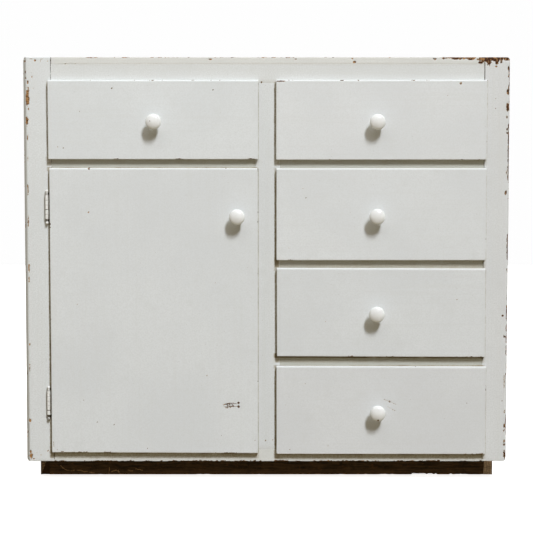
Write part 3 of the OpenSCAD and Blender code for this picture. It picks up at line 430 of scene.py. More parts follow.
def skew(s, up, across):
    """Moves the corners of a slab up and across, as the pieces have sagged and worn."""
    u = (s["flat"][:, 0] - s["x"][0]) / (s["x"][1] - s["x"][0])
    v = (s["flat"][:, 2] - s["z"][0]) / (s["z"][1] - s["z"][0])
    for axis, corners in ((2, up), (0, across)):
        foot_left, foot_right, head_left, head_right = (c * MM for c in corners)
        move = ((foot_left + (foot_right - foot_left) * u) * (1 - v)
                + (head_left + (head_right - head_left) * u) * v)
        for key in ("points", "flat"):
            s[key][:, axis] += move


def new_mesh(name, points, faces):
    """A mesh from an array of points and a list of faces."""
    mesh = bpy.data.meshes.new(name)
    mesh.from_pydata([tuple(q) for q in points.tolist()], [], faces)
    return mesh


def normals_of(points, faces):
    """Point normals of a mesh given as arrays."""
    mesh = new_mesh("measure", points, faces)
    mesh.update()
    out = np.zeros(len(points) * 3)
    mesh.vertex_normals.foreach_get("vector", out)
    bpy.data.meshes.remove(mesh)
    return out.reshape(-1, 3)


def dented(s, chip, depth, waves, seed):
    """Sinks the chipped places and gives the paint its slight unevenness."""
    n = normals_of(s["points"], s["faces"])
    sink = ramp(0.35, 0.65, chip) * depth * MM * (0.5 + fractal(s["points"], 3 * MM, seed))
    swell = (fractal(s["flat"], 45 * MM, seed + 1, 2) - 0.5) * waves * MM
    calm = ramp(0, 6 * MM, s["inset"].min(1))
    return s["points"] - n * (sink + np.abs(swell) * calm)[:, None]


def mesh_object(name, points, faces, body, node, marks, material, smooth=35):
    """The piece that stands for a node, with its marks of wear, grime and painted shade as point
    attributes.
    """
    mesh = new_mesh(name, points, faces)
    mesh.validate()
    mesh.polygons.foreach_set("use_smooth", np.ones(len(mesh.polygons), bool))
    mesh.set_sharp_from_angle(angle=math.radians(smooth))
    for key, values in marks.items():
        layer = mesh.attributes.new(key, "FLOAT", "POINT")
        layer.data.foreach_set("value", np.asarray(values, np.float32))
    mesh.update()
    o = bpy.data.objects.new(name, mesh)
    bpy.context.scene.collection.objects.link(o)
    mesh.materials.append(material)
    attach(o, body)
    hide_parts(node)


def box_mesh(x, y, z):
    """Points and faces of a closed box."""
    points = np.array([(a, b, c) for a in x for b in y for c in z])
    faces = [(0, 1, 3, 2), (4, 6, 7, 5), (0, 4, 5, 1), (2, 3, 7, 6), (0, 2, 6, 4), (1, 5, 7, 3)]
    return points, faces


def with_body(points, faces, marks, more, more_faces):
    """Adds an unworn closed mesh behind a worn slab."""
    faces = faces + [tuple(len(points) + i for i in f) for f in more_faces]
    marks = {k: np.concatenate([v, np.zeros(len(more))]) for k, v in marks.items()}
    return np.concatenate([points, more]), faces, marks


# Materials

class Nodes:
    """Adds nodes to a material's or world's tree."""

    def __init__(self, owner):
        owner.use_nodes = True
        self.tree = owner.node_tree
        self.tree.nodes.clear()

    def put(self, socket, value):
        if hasattr(value, "links"):
            self.tree.links.new(value, socket)
        else:
            socket.default_value = (*value, 1.0) if socket.type == "RGBA" else value

    def add(self, kind, sockets=(), **settings):
        """A node with its settings, and values or links for its sockets, in a row or by name."""
        n = self.tree.nodes.new(kind)
        for key, value in settings.items():
            setattr(n, key, value)
        for key, value in (sockets.items() if isinstance(sockets, dict) else enumerate(sockets)):
            self.put(n.inputs[key], value)
        return n


class Maker(Nodes):
    """The nodes of one material, by short names."""

    def __init__(self, name):
        self.material = bpy.data.materials.new(name)
        super().__init__(self.material)
        self.shader = self.add("ShaderNodeBsdfPrincipled")
        self.add("ShaderNodeOutputMaterial", {"Surface": self.shader.outputs["BSDF"]})
        self.coord = self.add("ShaderNodeTexCoord").outputs["Object"]

    def math(self, op, a, b=0.0, c=None, clamp=False):
        sockets = (a, b) if c is None else (a, b, c)
        return self.add("ShaderNodeMath", sockets, operation=op, use_clamp=clamp).outputs[0]

    def times(self, a, b, clamp=False):
        return self.math("MULTIPLY", a, b, clamp=clamp)

    def times_add(self, a, b, c):
        return self.math("MULTIPLY_ADD", a, b, c)

    def around(self, noise, amount, middle):
        """A value torn up by noise to both sides."""
        return self.times_add(self.math("SUBTRACT", noise, 0.5), amount, middle)

    def away_from(self, axis, place):
        return self.math("ABSOLUTE", self.math("SUBTRACT", axis, place))

    def span(self, v, a, b, lo=0.0, hi=1.0, kind="SMOOTHSTEP"):
        return self.add("ShaderNodeMapRange", (v, a, b, lo, hi), interpolation_type=kind).outputs[0]

    def stretched(self, scale=(1, 1, 1), shift=(0, 0, 0), turn=(0, 0, 0)):
        return self.add("ShaderNodeMapping", (self.coord, shift, turn, scale)).outputs[0]

    def noise(self, scale, detail=3.0, rough=0.55, vector=None, warp=0.0):
        sockets = {"Vector": self.coord if vector is None else vector, "Scale": scale,
                   "Detail": detail, "Roughness": rough, "Distortion": warp}
        return self.add("ShaderNodeTexNoise", sockets).outputs["Fac"]

    def dots(self, scale, vector, few, near, far):
        """Round spots in some of the cells of a pattern."""
        cells = self.add("ShaderNodeTexVoronoi", {"Vector": vector, "Scale": scale}).outputs
        chance = self.add("ShaderNodeSeparateColor", [cells["Color"]]).outputs[0]
        pick = self.math("GREATER_THAN", chance, few)
        return self.times(self.span(cells["Distance"], near, far, 1.0, 0.0), pick)

    def axis(self, which):
        return self.add("ShaderNodeSeparateXYZ", [self.coord]).outputs[which]

    def mix(self, factor, a, b):
        sockets = {"Factor": factor, 6: a, 7: b}
        return self.add("ShaderNodeMix", sockets, data_type="RGBA").outputs[2]

    def over(self, under, noise, low, high, amount, colour):
        """A colour laid over another where the noise is high."""
        return self.mix(self.span(noise, low, high, 0.0, amount), under, colour)

    def mark(self, name):
        return self.add("ShaderNodeAttribute", attribute_name=name).outputs["Fac"]

    def bump(self, height, distance, strength, below=None):
        sockets = {"Strength": strength, "Distance": distance, "Height": height}
        if below is not None:
            sockets["Normal"] = below
        return self.add("ShaderNodeBump", sockets).outputs[0]

    def finish(self, colour, rough, bump=None, **values):
        """Joins and sets the shader's sockets and gives back the material."""
        values |= {"Base Color": colour, "Roughness": rough}
        if bump is not None:
            values["Normal"] = bump
        for key, value in values.items():
            self.put(self.shader.inputs[key.replace("_", " ")], value)
        return self.material


def tinted(colour, *by):
    """A colour times one number, or times one for each of its parts."""
    return tuple(v * t for v, t in zip(colour, by * 3 if len(by) == 1 else by))


def grained(along, slow, fast):
    """Scales that stretch a pattern along one axis."""
    return tuple(slow if axis == along else fast for axis in "xyz")


def old_paint(name, base, along="x", seed=0.0, marks=True, bare_behind=None, edges=(), pins=0.90,
              busy=1.0, tan=0.0):
    """Old eggshell paint over wood, with brush marks along one axis, faint stains, specks and
    chips. marks says that the mesh carries the wear, and the grime and painted shade that darken
    it; edges are (axis, place, reach) in metres where a carried-over node's paint has chipped;
    bare_behind is where the paint stops. pins is the share of cells without a pin speck, busy how
    strong the mottling is, and tan how pale the open wood."""
    m = Maker(name)
    shift = (seed * 3.1, seed * 1.7, seed * 2.3)
    thin = grained(along, 3, 160)
    brush = m.noise(1.0, 4.0, 0.6, m.stretched(thin, shift))
    brush_fine = m.noise(2.6, 3.0, 0.6, m.stretched(thin, (shift[1], shift[2], shift[0])))
    broad = m.noise(5.0, 3.0, 0.5, m.stretched(shift=shift))
    mottle = m.noise(38.0, 4.0, 0.6, m.stretched(shift=shift))
    grain = m.noise(900.0, 2.0, 0.6)
    colour = m.mix(m.span(broad, 0.35, 0.65), tinted(base, 0.968), tinted(base, 1.02, 1.018, 1.012))
    colour = m.over(colour, mottle, 0.50, 0.80, 0.55 * busy, tinted(base, 0.93, 0.925, 0.905))
    colour = m.over(colour, brush, 0.46, 0.76, 0.36 * busy, tinted(base, 0.94, 0.93, 0.905))
    spatter = m.noise(330.0, 3.0, 0.7)
    colour = m.over(colour, spatter, 0.34, 0.70, 0.62 * busy, tinted(base, 0.91, 0.905, 0.89))
    pin = m.dots(125.0, m.coord, pins, 0.05, 0.11)
    colour = m.mix(m.times(pin, 0.5), colour, (0.36, 0.31, 0.24))
    rough = m.span(mottle, 0.2, 0.8, 0.40, 0.56)
    if marks:
        # The grime_and_shade mark darkens the paint with grime and with painted shade: the shadows
        # under and beside the fronts and the dark lines at their edges; where it passes 1 it turns
        # near black, for the deepest painted shadow lines.
        grime_and_shade = m.mark("grime_and_shade")
        ragged = m.span(m.noise(420.0, 3.0, 0.6), 0.25, 0.7, 0.45, 1.2)
        colour = m.mix(m.times(grime_and_shade, ragged, clamp=True), colour, (0.42, 0.37, 0.27))
        colour = m.over(colour, grime_and_shade, 0.95, 1.6, 0.9, (0.17, 0.13, 0.07))
        # The crack mark darkens open joints, and beside the hinge tips it also paints their shade.
        bridged = m.around(m.noise(430.0, 3.0, 0.6), 1.1, m.mark("crack"))
        colour = m.over(colour, bridged, 0.25, 0.80, 1.0, (0.050, 0.034, 0.018))
        worn = m.mark("chip")
    else:
        stain = m.noise(1.0, 4.0, 0.6, m.stretched((3, 3, 0.8), shift))
        colour = m.over(colour, stain, 0.50, 0.74, 0.8, tinted(base, 0.88, 0.86, 0.81))
        scuff = m.noise(1.0, 3.0, 0.5, m.stretched((9, 9, 150), shift, (math.radians(17), 0, 0)))
        here = m.span(m.noise(4.0, 2.0), 0.50, 0.62)
        colour = m.mix(m.times(m.span(scuff, 0.66, 0.71, 0.0, 0.55), here), colour,
                       (0.50, 0.46, 0.38))
        line = m.times(m.noise(34.0, 4.0, 0.65, m.stretched(shift=shift)), 0.42)
        worn = 0.0
        for axis, place, reach in edges:
            near = m.span(m.away_from(m.axis("xyz".index(axis)), place), 0.0, reach, 1.0, 0.0,
                          "LINEAR")
            worn = m.math("MAXIMUM", worn, m.times_add(near, 0.40, line))
    torn = m.times(m.around(m.noise(310.0, 6.0, 0.75), 1.35, worn), m.span(worn, 0.04, 0.30))
    chip = m.span(torn, 0.47, 0.55)
    whole = m.math("SUBTRACT", 1.0, chip)
    rim = m.times(m.span(torn, 0.33, 0.44), whole)
    fibres = m.noise(1.0, 4.0, 0.7, m.stretched(grained(along, 60, 900), shift))
    patch = m.noise(260.0, 2.0, 0.5, m.stretched(shift=(shift[2], shift[0], shift[1])))
    pale = m.span(m.times_add(patch, 0.75, m.times(fibres, 0.25)), 0.51 - tan, 0.65 - tan)
    wood = m.mix(m.math("MAXIMUM", m.span(torn, 0.58, 0.51), pale), WOOD_DEEP, WOOD_TAN)
    colour = m.mix(m.times(rim, 0.7), colour, UNDERCOAT)
    colour = m.mix(chip, colour, wood)
    if bare_behind is not None:
        drips = m.times_add(m.noise(60.0, 3.0), 0.010, m.axis(1))
        bare = m.span(drips, bare_behind + 0.004, bare_behind + 0.006)
        board = wood_figure(m, along, (0.50, 0.35, 0.205), (0.34, 0.21, 0.11), seed, 9.0, 0.3)[0]
        colour = m.mix(bare, colour, board)
    bump = m.bump(m.times_add(brush_fine, 0.5, brush), 0.00022, 0.55)
    bump = m.bump(m.times_add(grain, 0.35, mottle), 0.00016, 0.5, bump)
    bump = m.bump(whole, 0.0006, 0.9, bump)
    return m.finish(colour, m.times_add(chip, 0.35, rough), bump, Specular_IOR_Level=0.42)


def wood_figure(m, along, light, dark, seed, rings, stain):
    """Grain of a board along one axis: its colour, late wood, fibre, blots and shift."""
    shift = (seed * 1.3, seed * 2.9, seed * 0.7)
    figure = m.noise(1.0, 3.0, 0.5, m.stretched(grained(along, 0.55, 6), shift), 0.35)
    band = m.math("FRACT", m.times(figure, rings))
    late = m.times(m.span(band, 0.35, 0.92), m.span(band, 1.0, 0.94))
    fibre = m.noise(1.0, 4.0, 0.65, m.stretched(grained(along, 9, 420), shift))
    blot = m.noise(7.0, 4.0, 0.6, m.stretched(shift=shift))
    colour = m.mix(m.times(late, 0.75), light, dark)
    colour = m.over(colour, fibre, 0.45, 0.75, 0.35, tinted(dark, 0.6))
    colour = m.over(colour, blot, 0.45, 0.75, stain, tinted(dark, 0.55))
    return colour, late, fibre, blot, shift


def bare_wood(name, along, seed, light=(0.46, 0.31, 0.175), dark=(0.27, 0.155, 0.075), rings=16.0,
              knots=True, stain=0.35, rough=0.72):
    """Old unpainted board with its grain along one axis."""
    m = Maker(name)
    colour, late, fibre, blot, shift = wood_figure(m, along, light, dark, seed, rings, stain)
    if knots:
        knot = m.dots(1.0, m.stretched(grained(along, 2.2, 9), shift), 0.72, 0.05, 0.13)
        colour = m.mix(m.times(knot, 0.8), colour, tinted(dark, 0.35))
    return m.finish(colour, m.span(blot, 0.2, 0.8, rough - 0.08, rough + 0.12),
                    m.bump(m.times_add(late, -0.3, fibre), 0.00025, 0.6), Specular_IOR_Level=0.3)


def dark_plinth(name):
    """Stained, worn plinth wood with its grain across the cabinet, paler near the foot, and with
    painted shadow at its top under the bottom rail.
    """
    m = Maker(name)
    fibre = m.noise(1.0, 4.0, 0.7, m.stretched((22, 200, 260)))
    blot = m.noise(34.0, 4.0, 0.65)
    colour = m.mix(m.span(fibre, 0.35, 0.7), (0.028, 0.0155, 0.007), (0.104, 0.061, 0.028))
    colour = m.over(colour, blot, 0.50, 0.78, 0.6, (0.135, 0.086, 0.045))
    rust = m.noise(150.0, 3.0, 0.7, m.stretched((1, 1, 2.2)))
    colour = m.over(colour, rust, 0.56, 0.74, 0.8, (0.175, 0.078, 0.026))
    soot = m.noise(60.0, 4.0, 0.7, m.stretched((1, 1, 1.6), (3.1, 0, 0.7)))
    colour = m.over(colour, soot, 0.54, 0.70, 0.75, (0.016, 0.010, 0.005))
    up = m.axis(2)
    # Paler in patches near the foot.
    paler_near_foot = m.times(m.span(up, 15 * MM, 4 * MM), m.span(blot, 0.3, 0.6, 0.3, 1.0))
    colour = m.mix(m.times(paler_near_foot, 0.55), colour, (0.150, 0.090, 0.048))
    # Painted shadow under the bottom rail: darker towards the top of the board.
    colour = m.over(colour, up, FOOT_Z - 5 * MM, FOOT_Z - 1.5 * MM, 0.75, (0.010, 0.006, 0.003))
    torn = m.around(m.noise(500.0), 0.6, m.mark("chip"))
    colour = m.over(colour, torn, 0.42, 0.62, 1.0, (0.42, 0.275, 0.145))
    return m.finish(colour, m.span(blot, 0.2, 0.8, 0.62, 0.9), m.bump(fibre, 0.0006, 0.9),
                    Specular_IOR_Level=0.2)


def end_grain(name, pale):
    """Sawn end grain of the plinth runners in front, side grain elsewhere."""
    m = Maker(name)
    sockets = {"Vector": m.stretched((1, 0.2, 1), (0.43, 0, 0.07)), "Scale": 55.0,
               "Distortion": 5.0, "Detail": 3.0}
    ring = m.add("ShaderNodeTexWave", sockets, wave_type="RINGS", rings_direction="Y").outputs["Fac"]
    saw = m.noise(1.0, 3.0, 0.7, m.stretched((60, 60, 700), turn=(0, math.radians(-24), 0)))
    blot = m.noise(75.0, 4.0, 0.65)
    colour = m.mix(ring, pale, tinted(pale, 0.62))
    colour = m.over(colour, saw, 0.42, 0.62, 0.75, tinted(pale, 0.30))
    colour = m.over(colour, blot, 0.50, 0.72, 0.75, tinted(pale, 0.20))
    colour = m.over(colour, m.mark("chip"), 0.4, 0.6, 1.0, (0.055, 0.028, 0.012))
    return m.finish(colour, m.span(blot, 0.2, 0.8, 0.70, 0.92),
                    m.bump(m.times_add(saw, 0.8, ring), 0.0005, 0.9), Specular_IOR_Level=0.2)


def glazed(name):
    """White glazed porcelain, with a chip where the mesh says so."""
    m = Maker(name)
    cloud = m.noise(90.0, 3.0)
    colour = m.mix(m.span(cloud, 0.35, 0.65), (0.865, 0.87, 0.85), (0.905, 0.91, 0.89))
    chip = m.span(m.around(m.noise(1400.0), 0.4, m.mark("chip")), 0.44, 0.56)
    colour = m.mix(chip, colour, m.mix(cloud, (0.20, 0.11, 0.05), (0.10, 0.05, 0.025)))
    return m.finish(colour, m.times_add(chip, 0.4, m.span(cloud, 0.2, 0.8, 0.17, 0.23)),
                    m.bump(m.math("SUBTRACT", m.noise(60.0, 2.0), chip), 0.0001, 0.5),
                    Coat_Weight=0.42, Coat_Roughness=0.05)


def old_metal(name, bright, dark, seed):
    """Metal with darker, rougher spots of tarnish."""
    m = Maker(name)
    spots = m.noise(160.0, 4.0, 0.65, m.stretched(shift=(seed, seed, seed)))
    fine = m.noise(900.0, 2.0)
    tarnish = m.span(spots, 0.46, 0.66)
    rough = m.times_add(tarnish, 0.25, m.span(fine, 0.2, 0.8, 0.38, 0.50))
    return m.finish(m.mix(tarnish, bright, dark), rough,
                    m.bump(m.times_add(fine, 0.4, spots), 0.0001, 0.5), Metallic=1.0)


def hinge_paint(name):
    """Thick paint on the hinges, with dark seams between the knuckles, painted shade at the necks of
    the tips, and painted shade down the barrel's left side and beside the gap at its right.
    """
    m = Maker(name)
    mottle = m.noise(260.0, 4.0, 0.6)
    colour = m.over((0.90, 0.90, 0.87), mottle, 0.45, 0.75, 0.6, (0.72, 0.70, 0.645))
    spots = m.noise(420.0, 3.0, 0.6, m.stretched((1, 1, 0.6)))
    barrel_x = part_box("hinge_pins")[0].x + 3.3 * MM
    across = m.math("SUBTRACT", m.axis(0), barrel_x)
    # Painted shade down the barrel's left side, which faces away from the light, and beside the dark
    # gap at its right.
    grime_and_shade = m.math("MAXIMUM", m.span(across, -3.9 * MM, -1.6 * MM, 0.72, 0.0),
                   m.span(across, 2.4 * MM, 3.9 * MM, 0.0, 0.75))
    colour = m.mix(m.times(grime_and_shade, m.span(spots, 0.3, 0.6, 0.6, 1.25)), colour, (0.20, 0.165, 0.115))
    up = m.axis(2)
    # Dark seams between the knuckles, and painted shade at the necks of the tips.
    dark = 0.0
    for place, half, strength in HINGE_SEAMS_AND_SHADE:
        seam = m.span(m.away_from(up, place * MM), half * 1.4 * MM, half * 0.6 * MM, 0.0, strength)
        dark = m.math("MAXIMUM", dark, seam)
    dark = m.times(dark, m.span(m.noise(380.0, 3.0), 0.28, 0.50, 0.45, 1.1))
    colour = m.mix(m.math("MINIMUM", dark, 1.0), colour, (0.050, 0.034, 0.014))
    colour = m.over(colour, spots, 0.66, 0.74, 1.0, (0.13, 0.085, 0.05))
    return m.finish(colour, m.span(mottle, 0.2, 0.8, 0.34, 0.52),
                    m.bump(m.times_add(spots, -0.6, mottle), 0.0005, 0.7))


# Drawer fronts and door

def lipped_front(body, look):
    """The painted front of a drawer or the door: the lip as a worn slab, with a block behind it."""
    node = FRONT_NODES[body]
    low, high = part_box(node)
    seed = look["seed"]
    if body == "door":
        name, along = "door_painted_panel", "z"
        across = (low.x + DOOR_BLOCK_LEFT, high.x - DOOR_BLOCK_IN)
        up = (low.z + DOOR_BLOCK_IN, high.z - DOOR_BLOCK_IN)
    else:
        name, along = body + "_painted_front", "x"
        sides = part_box(body + "_sides")
        across = (sides[0].x + DRAWER_SIDE, sides[1].x - DRAWER_SIDE)
        up = (sides[0].z, sides[1].z)
    s = slab((low.x, high.x), (low.z, high.z), FRONT_Y, LIP_BACK_Y,
             (LEFT_SIDE, SIDE_EDGE, FOOT_EDGE, HEAD_BEVEL), (1.6, 1.6, 1.6, 1.6),
             **look.get("fine", {}))
    skew(s, look["up"], look["across"])
    chip = seen_wear(s, edge_wear(s, look["chipped"], look["reach"], seed), 5)
    grime_and_shade = grime_and_shade_near(s, {LEFT: (0.08, 9), RIGHT: (0.04, 5), FOOT: (0.14, 7), HEAD: (0.07, 7)}, seed)
    # A dark line along the right edge: grime, and painted shade of the gap beside the lip.
    line = ramp(1.25 * MM, 0.35 * MM, s["inset"][:, RIGHT]) * (s["behind"] < 7 * MM)
    cloud = fractal(s["flat"], 14 * MM, seed + 2)
    grime_and_shade = np.maximum(grime_and_shade, look["grime_and_shade_near"] * (0.45 + 0.75 * cloud) * line)
    points = dented(s, chip, 0.4, 0.25, seed)
    marks = {"chip": chip, "grime_and_shade": grime_and_shade, "crack": np.zeros(len(chip))}
    block = box_mesh(across, (LIP_BACK_Y - MM, high.y), up)
    points, faces, marks = with_body(points, s["faces"], marks, *block)
    mesh_object(name, points, faces, body, node, marks,
                old_paint("paint_" + name, look["tone"], along, seed * 0.37))


for front_name, front_look in FRONTS.items():
    lipped_front(front_name, front_look)


# Face frame

def grime_and_shade_round_fronts(flat, seed):
    """Darkening on the face frame along the edges of the fronts, grime and painted shade: shadows
    under and left of each front, and shade lines at its foot, right and head.
    """
    x, z = flat[:, 0] / MM, flat[:, 2] / MM
    ragged = fractal(flat, 5 * MM, seed + 3) - 0.5
    cloud = fractal(flat, 22 * MM, seed + 5)
    out = np.zeros(len(flat))
    for front, look in FRONTS.items():
        under, drop, left, right, above = look["frame"]
        up, across = look["up"], look["across"]
        low, high = (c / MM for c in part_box(FRONT_NODES[front]))
        v = np.clip((z - low.z) / (high.z - low.z), 0, 1)
        at_left = low.x + across[0] * (1 - v) + across[2] * v
        at_right = high.x + across[1] * (1 - v) + across[3] * v
        foot_z = low.z + up[0] + (up[1] - up[0]) * (x - low.x) / (high.x - low.x)
        reach = (5.2 - 1.6 * v) if front == "door" else 3.7
        if front == "second_drawer":
            under = under + 0.30 * ramp(low.z - 8, low.z - 12, z)
        beside = ramp(low.z - drop - 2, low.z - drop + 2, z) * ramp(high.z + 1, high.z - 8, z)
        span_x = ramp(low.x - 8, low.x - 3, x) * ramp(high.x + 1, high.x - 5, x)
        # Painted shadow band under the foot, painted contact shadow just under it, painted shadow at
        # the left, and shade of the gaps at the right edge and above the head.
        foot = ramp(low.z - drop - 1.5, low.z - drop + 1.5, z + ragged * 2) * (z < low.z + 6)
        painted_contact_shadow = ramp(foot_z - 5.6, foot_z - 4.0, z) * (z < low.z + 6)
        side = ramp(at_left - reach - 1.1, at_left - reach + 0.5, x + ragged * 1.2) * (x < low.x + 6)
        edge = ramp(at_right + 1.6, at_right + 0.4, x + 0.6 * ragged) * (x > high.x - 6)
        head = ramp(high.z + 2.4, high.z + 0.6, z + ragged) * (z > high.z - 6) * span_x
        for layer in (under * (0.75 + 0.5 * cloud) * foot * span_x,
                      look["painted_contact_shadow"] * (0.75 + 0.5 * cloud) * painted_contact_shadow * span_x,
                      left * (0.7 + 0.6 * cloud) * side * beside,
                      right * (0.5 + 1.0 * cloud) * edge * beside,
                      above * (0.5 + 1.0 * cloud) * head):
            out = np.maximum(out, layer)
    return out


def hinge_dirt_and_shade(flat, seed):
    """Dark spots on the left stile beside the hinge tips: open paint, and painted shade of the gaps.
    """
    x, z = flat[:, 0] / MM, flat[:, 2] / MM
    wobble = (fractal(flat, 2 * MM, seed) - 0.5) * 0.7
    out = np.zeros(len(flat))
    for cx, cz, rx, rz, strength in HINGE_DIRT_AND_SHADE:
        q = np.hypot((x - cx) / rx, (z - cz) / rz) + wobble
        out = np.maximum(out, strength * ramp(1.35, 0.7, q))
    return out


def near_edges(x, z):
    """Ranges where a frame piece needs finer lines, near the edges of the fronts."""
    across, up = [], []
    for node in FRONT_NODES.values():
        low, high = (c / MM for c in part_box(node))
        across += [(low.x - 8, low.x + 1), (high.x - 1, high.x + 3)]
        up += [(low.z - 17, low.z + 1), (high.z - 1, high.z + 3)]
    keep = []
    for ranges, (a, b) in ((across, x), (up, z)):
        merged = []
        for f0, f1 in sorted((max(f0, a / MM), min(f1, b / MM)) for f0, f1 in ranges
                             if f1 > a / MM and f0 < b / MM):
            if merged and f0 <= merged[-1][1] + 1:
                merged[-1][1] = max(merged[-1][1], f1)
            else:
                merged.append([f0, f1])
        keep.append([(f0, f1, 0.9) for f0, f1 in merged])
    return keep


def frame_piece(name, node, x, z, along, seed, tone, amounts=(0, 0, 0, 0), widths=(2, 2, 2, 2),
                r=(0.5, 0.5, 0.5, 0.5), corner=(0, 0, 0, 0), cracks=(), grime_and_shade=(), sink=0.6,
                dirt_and_shade_at_hinges=False, **looks):
    """A painted piece of the face frame. amounts and widths are what edge_wear takes, r and corner
    what slab takes. cracks and grime_and_shade go by side, and sink is how deep the chips are.
    dirt_and_shade_at_hinges says that hinges sit on the piece, which darkens the stile beside them
    with open paint and painted shade, and looks go to old_paint."""
    cracks, grime_and_shade = dict(cracks), dict(grime_and_shade)
    fine_x, fine_z = near_edges(x, z)
    if LEFT in cracks:
        fine_x.append((x[0] / MM, x[0] / MM + 3, 0.6))
    if RIGHT in cracks:
        fine_x.append((x[1] / MM - 3, x[1] / MM, 0.6))
    s = slab(x, z, FACE_Y, BEHIND_Y, r, corner, fine_x=fine_x, fine_z=fine_z)
    chip = seen_wear(s, edge_wear(s, amounts, widths, seed), 9)
    crack = crack_lines(s, cracks, seed + 3)
    # Beside the hinges the crack mark also darkens the stile with open paint and painted shade of the
    # gaps.
    if dirt_and_shade_at_hinges:
        crack = np.maximum(crack, hinge_dirt_and_shade(s["flat"], seed + 9))
    front = s["behind"] < 4 * MM
    # Grime near the sides, and on the face the grime and painted shade round the fronts.
    soil_and_shade = np.maximum(grime_and_shade_near(s, grime_and_shade, seed), grime_and_shade_round_fronts(s["flat"], seed) * front)
    looks = {"pins": 0.80, "busy": 1.6} | looks
    mesh_object(name, dented(s, chip, sink, 0.2, seed), s["faces"], "carcass", node,
                {"chip": chip, "grime_and_shade": soil_and_shade, "crack": crack},
                old_paint("paint_" + name, tone, along, seed * 0.29, **looks))


rail_top_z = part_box("top_rail")[0].z
frame_piece("left_stile_painted", "stile_left", (LEFT_X, OPEN_LEFT), (FOOT_Z, TOP_Z), "z", 101,
            LEFT_STILE, (0.30, 0, 0.35, 0.45), (2.2, 0, 2.2, 2.6), (LEFT_EDGE, 0.5, 0.8, 2.0),
            (6, 0, 6, 0), cracks={RIGHT: 0.72}, grime_and_shade={FOOT: (0.2, 9)}, dirt_and_shade_at_hinges=True, tan=0.13,
            pins=0.68, busy=2.3)
frame_piece("right_stile_painted", "stile_right", (OPEN_RIGHT, RIGHT_X), (FOOT_Z, TOP_Z), "z", 131,
            RIGHT_STILE, (0, 0.62, 0.30, 0.75), (0, 3.4, 2.2, 4.0), (0.5, 6, 0.8, 2.5),
            (0, 6, 0, 6), cracks={LEFT: 1.0}, grime_and_shade={FOOT: (0.2, 9)})
frame_piece("centre_stile_painted", "stile_centre", (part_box("stile_centre")[0].x, STILE_RIGHT),
            (FLOOR_Z, rail_top_z), "z", 151, CENTRE_STILE, cracks={HEAD: 0.25, FOOT: 0.25},
            grime_and_shade={FOOT: (0.2, 12)})
frame_piece("top_rail_painted", "top_rail", (OPEN_LEFT, OPEN_RIGHT), (rail_top_z, TOP_BOARD_Z),
            "x", 171, TOP_RAIL, cracks={LEFT: 0.5, RIGHT: 1.0},
            grime_and_shade={FOOT: (0.25, 10), HEAD: (0.16, 5)})
frame_piece("bottom_rail_painted", "bottom_rail", (OPEN_LEFT, OPEN_RIGHT), (FOOT_Z, FLOOR_Z), "x",
            191, BOTTOM_RAIL, (0, 0, 0.58, 0), (0, 0, 1.6, 0), (0.5, 0.5, 0.25, 0.5),
            cracks={LEFT: 0.9, RIGHT: 0.5}, sink=0.3)

LEFT_SPAN = (OPEN_LEFT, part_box("left_drawer_front")[1].x - LIP_OVER)
RIGHT_SPAN = (STILE_RIGHT, OPEN_RIGHT)
for i, (name, above, below, span, over) in enumerate((
        ("left", "left_drawer", "door", LEFT_SPAN, LIP_OVER),
        ("first", "first_drawer", "second_drawer", RIGHT_SPAN, LIP_OVER),
        ("second", "second_drawer", "third_drawer", RIGHT_SPAN, LIP_OVER),
        ("third", "third_drawer", "fourth_drawer", RIGHT_SPAN, LIP_OVER - 2 * MM))):
    rail = (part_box(FRONT_NODES[below])[1].z - over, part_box(FRONT_NODES[above])[0].z + LIP_OVER)
    frame_piece(name + "_rail_painted", "drawer_rails", span, rail, "x", 211 + 17 * i, RAILS_GRIMED_AND_SHADED,
                cracks={LEFT: 0.3, RIGHT: 0.5})


def top_board_piece():
    """The top board with its screw holes, and its worn front edge as a slab."""
    bm = bmesh.new()
    bm.from_mesh(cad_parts["top_board"].data)
    bmesh.ops.remove_doubles(bm, verts=bm.verts, dist=1e-6)
    bmesh.ops.bisect_plane(bm, geom=bm.verts[:] + bm.edges[:] + bm.faces[:],
                           plane_co=(0, BEHIND_Y, 0), plane_no=(0, -1, 0), clear_outer=True)
    bmesh.ops.holes_fill(bm, edges=[e for e in bm.edges if e.is_boundary], sides=0)
    bmesh.ops.recalc_face_normals(bm, faces=bm.faces)
    bm.verts.index_update()
    board = np.array([v.co for v in bm.verts])
    board_faces = [[v.index for v in f.verts] for f in bm.faces]
    bm.free()
    s = slab((OPEN_LEFT, OPEN_RIGHT), (TOP_BOARD_Z, TOP_Z), FACE_Y, BEHIND_Y, (0.5, 0.5, 0.5, 2.5),
             step=1.6, side_step=1.8)
    seed = 301
    right = ramp(0.33, 0.42, s["flat"][:, 0])
    chip = np.maximum(edge_wear(s, (0, 0, 0, 0.44), (0, 0, 0, 1.2), seed),
                      edge_wear(s, (0, 0, 0, 0.92), (0, 0, 0, 4.2), seed + 5) * right)
    chip = seen_wear(s, chip, 9)
    marks = {"chip": chip, "grime_and_shade": grime_and_shade_near(s, {HEAD: (0.25, 6), FOOT: (0.30, 3)}, seed),
             "crack": crack_lines(s, {LEFT: 0.9, RIGHT: 1.0, FOOT: 0.18}, seed)}
    points, faces, marks = with_body(dented(s, chip, 0.7, 0.3, seed), s["faces"], marks,
                                     board, board_faces)
    mesh_object("top_board_with_painted_edge", points, faces, "carcass", "top_board",
                marks, old_paint("paint_top_edge", TOP_EDGE, "x", 7.7, tan=0.06,
                                 bare_behind=FACE_Y + 14 * MM))


top_board_piece()

# Knobs: half thickness of the head and radius of its rim, the foot's and the neck's radius and
# the height of the foot
HEAD_HALF, HEAD_RIM = 9.0 * MM, 6.8 * MM
ROSE, NECK, ROSE_TOP = 10.0 * MM, 7.5 * MM, 1.9 * MM
KNOB_TURNS = 96
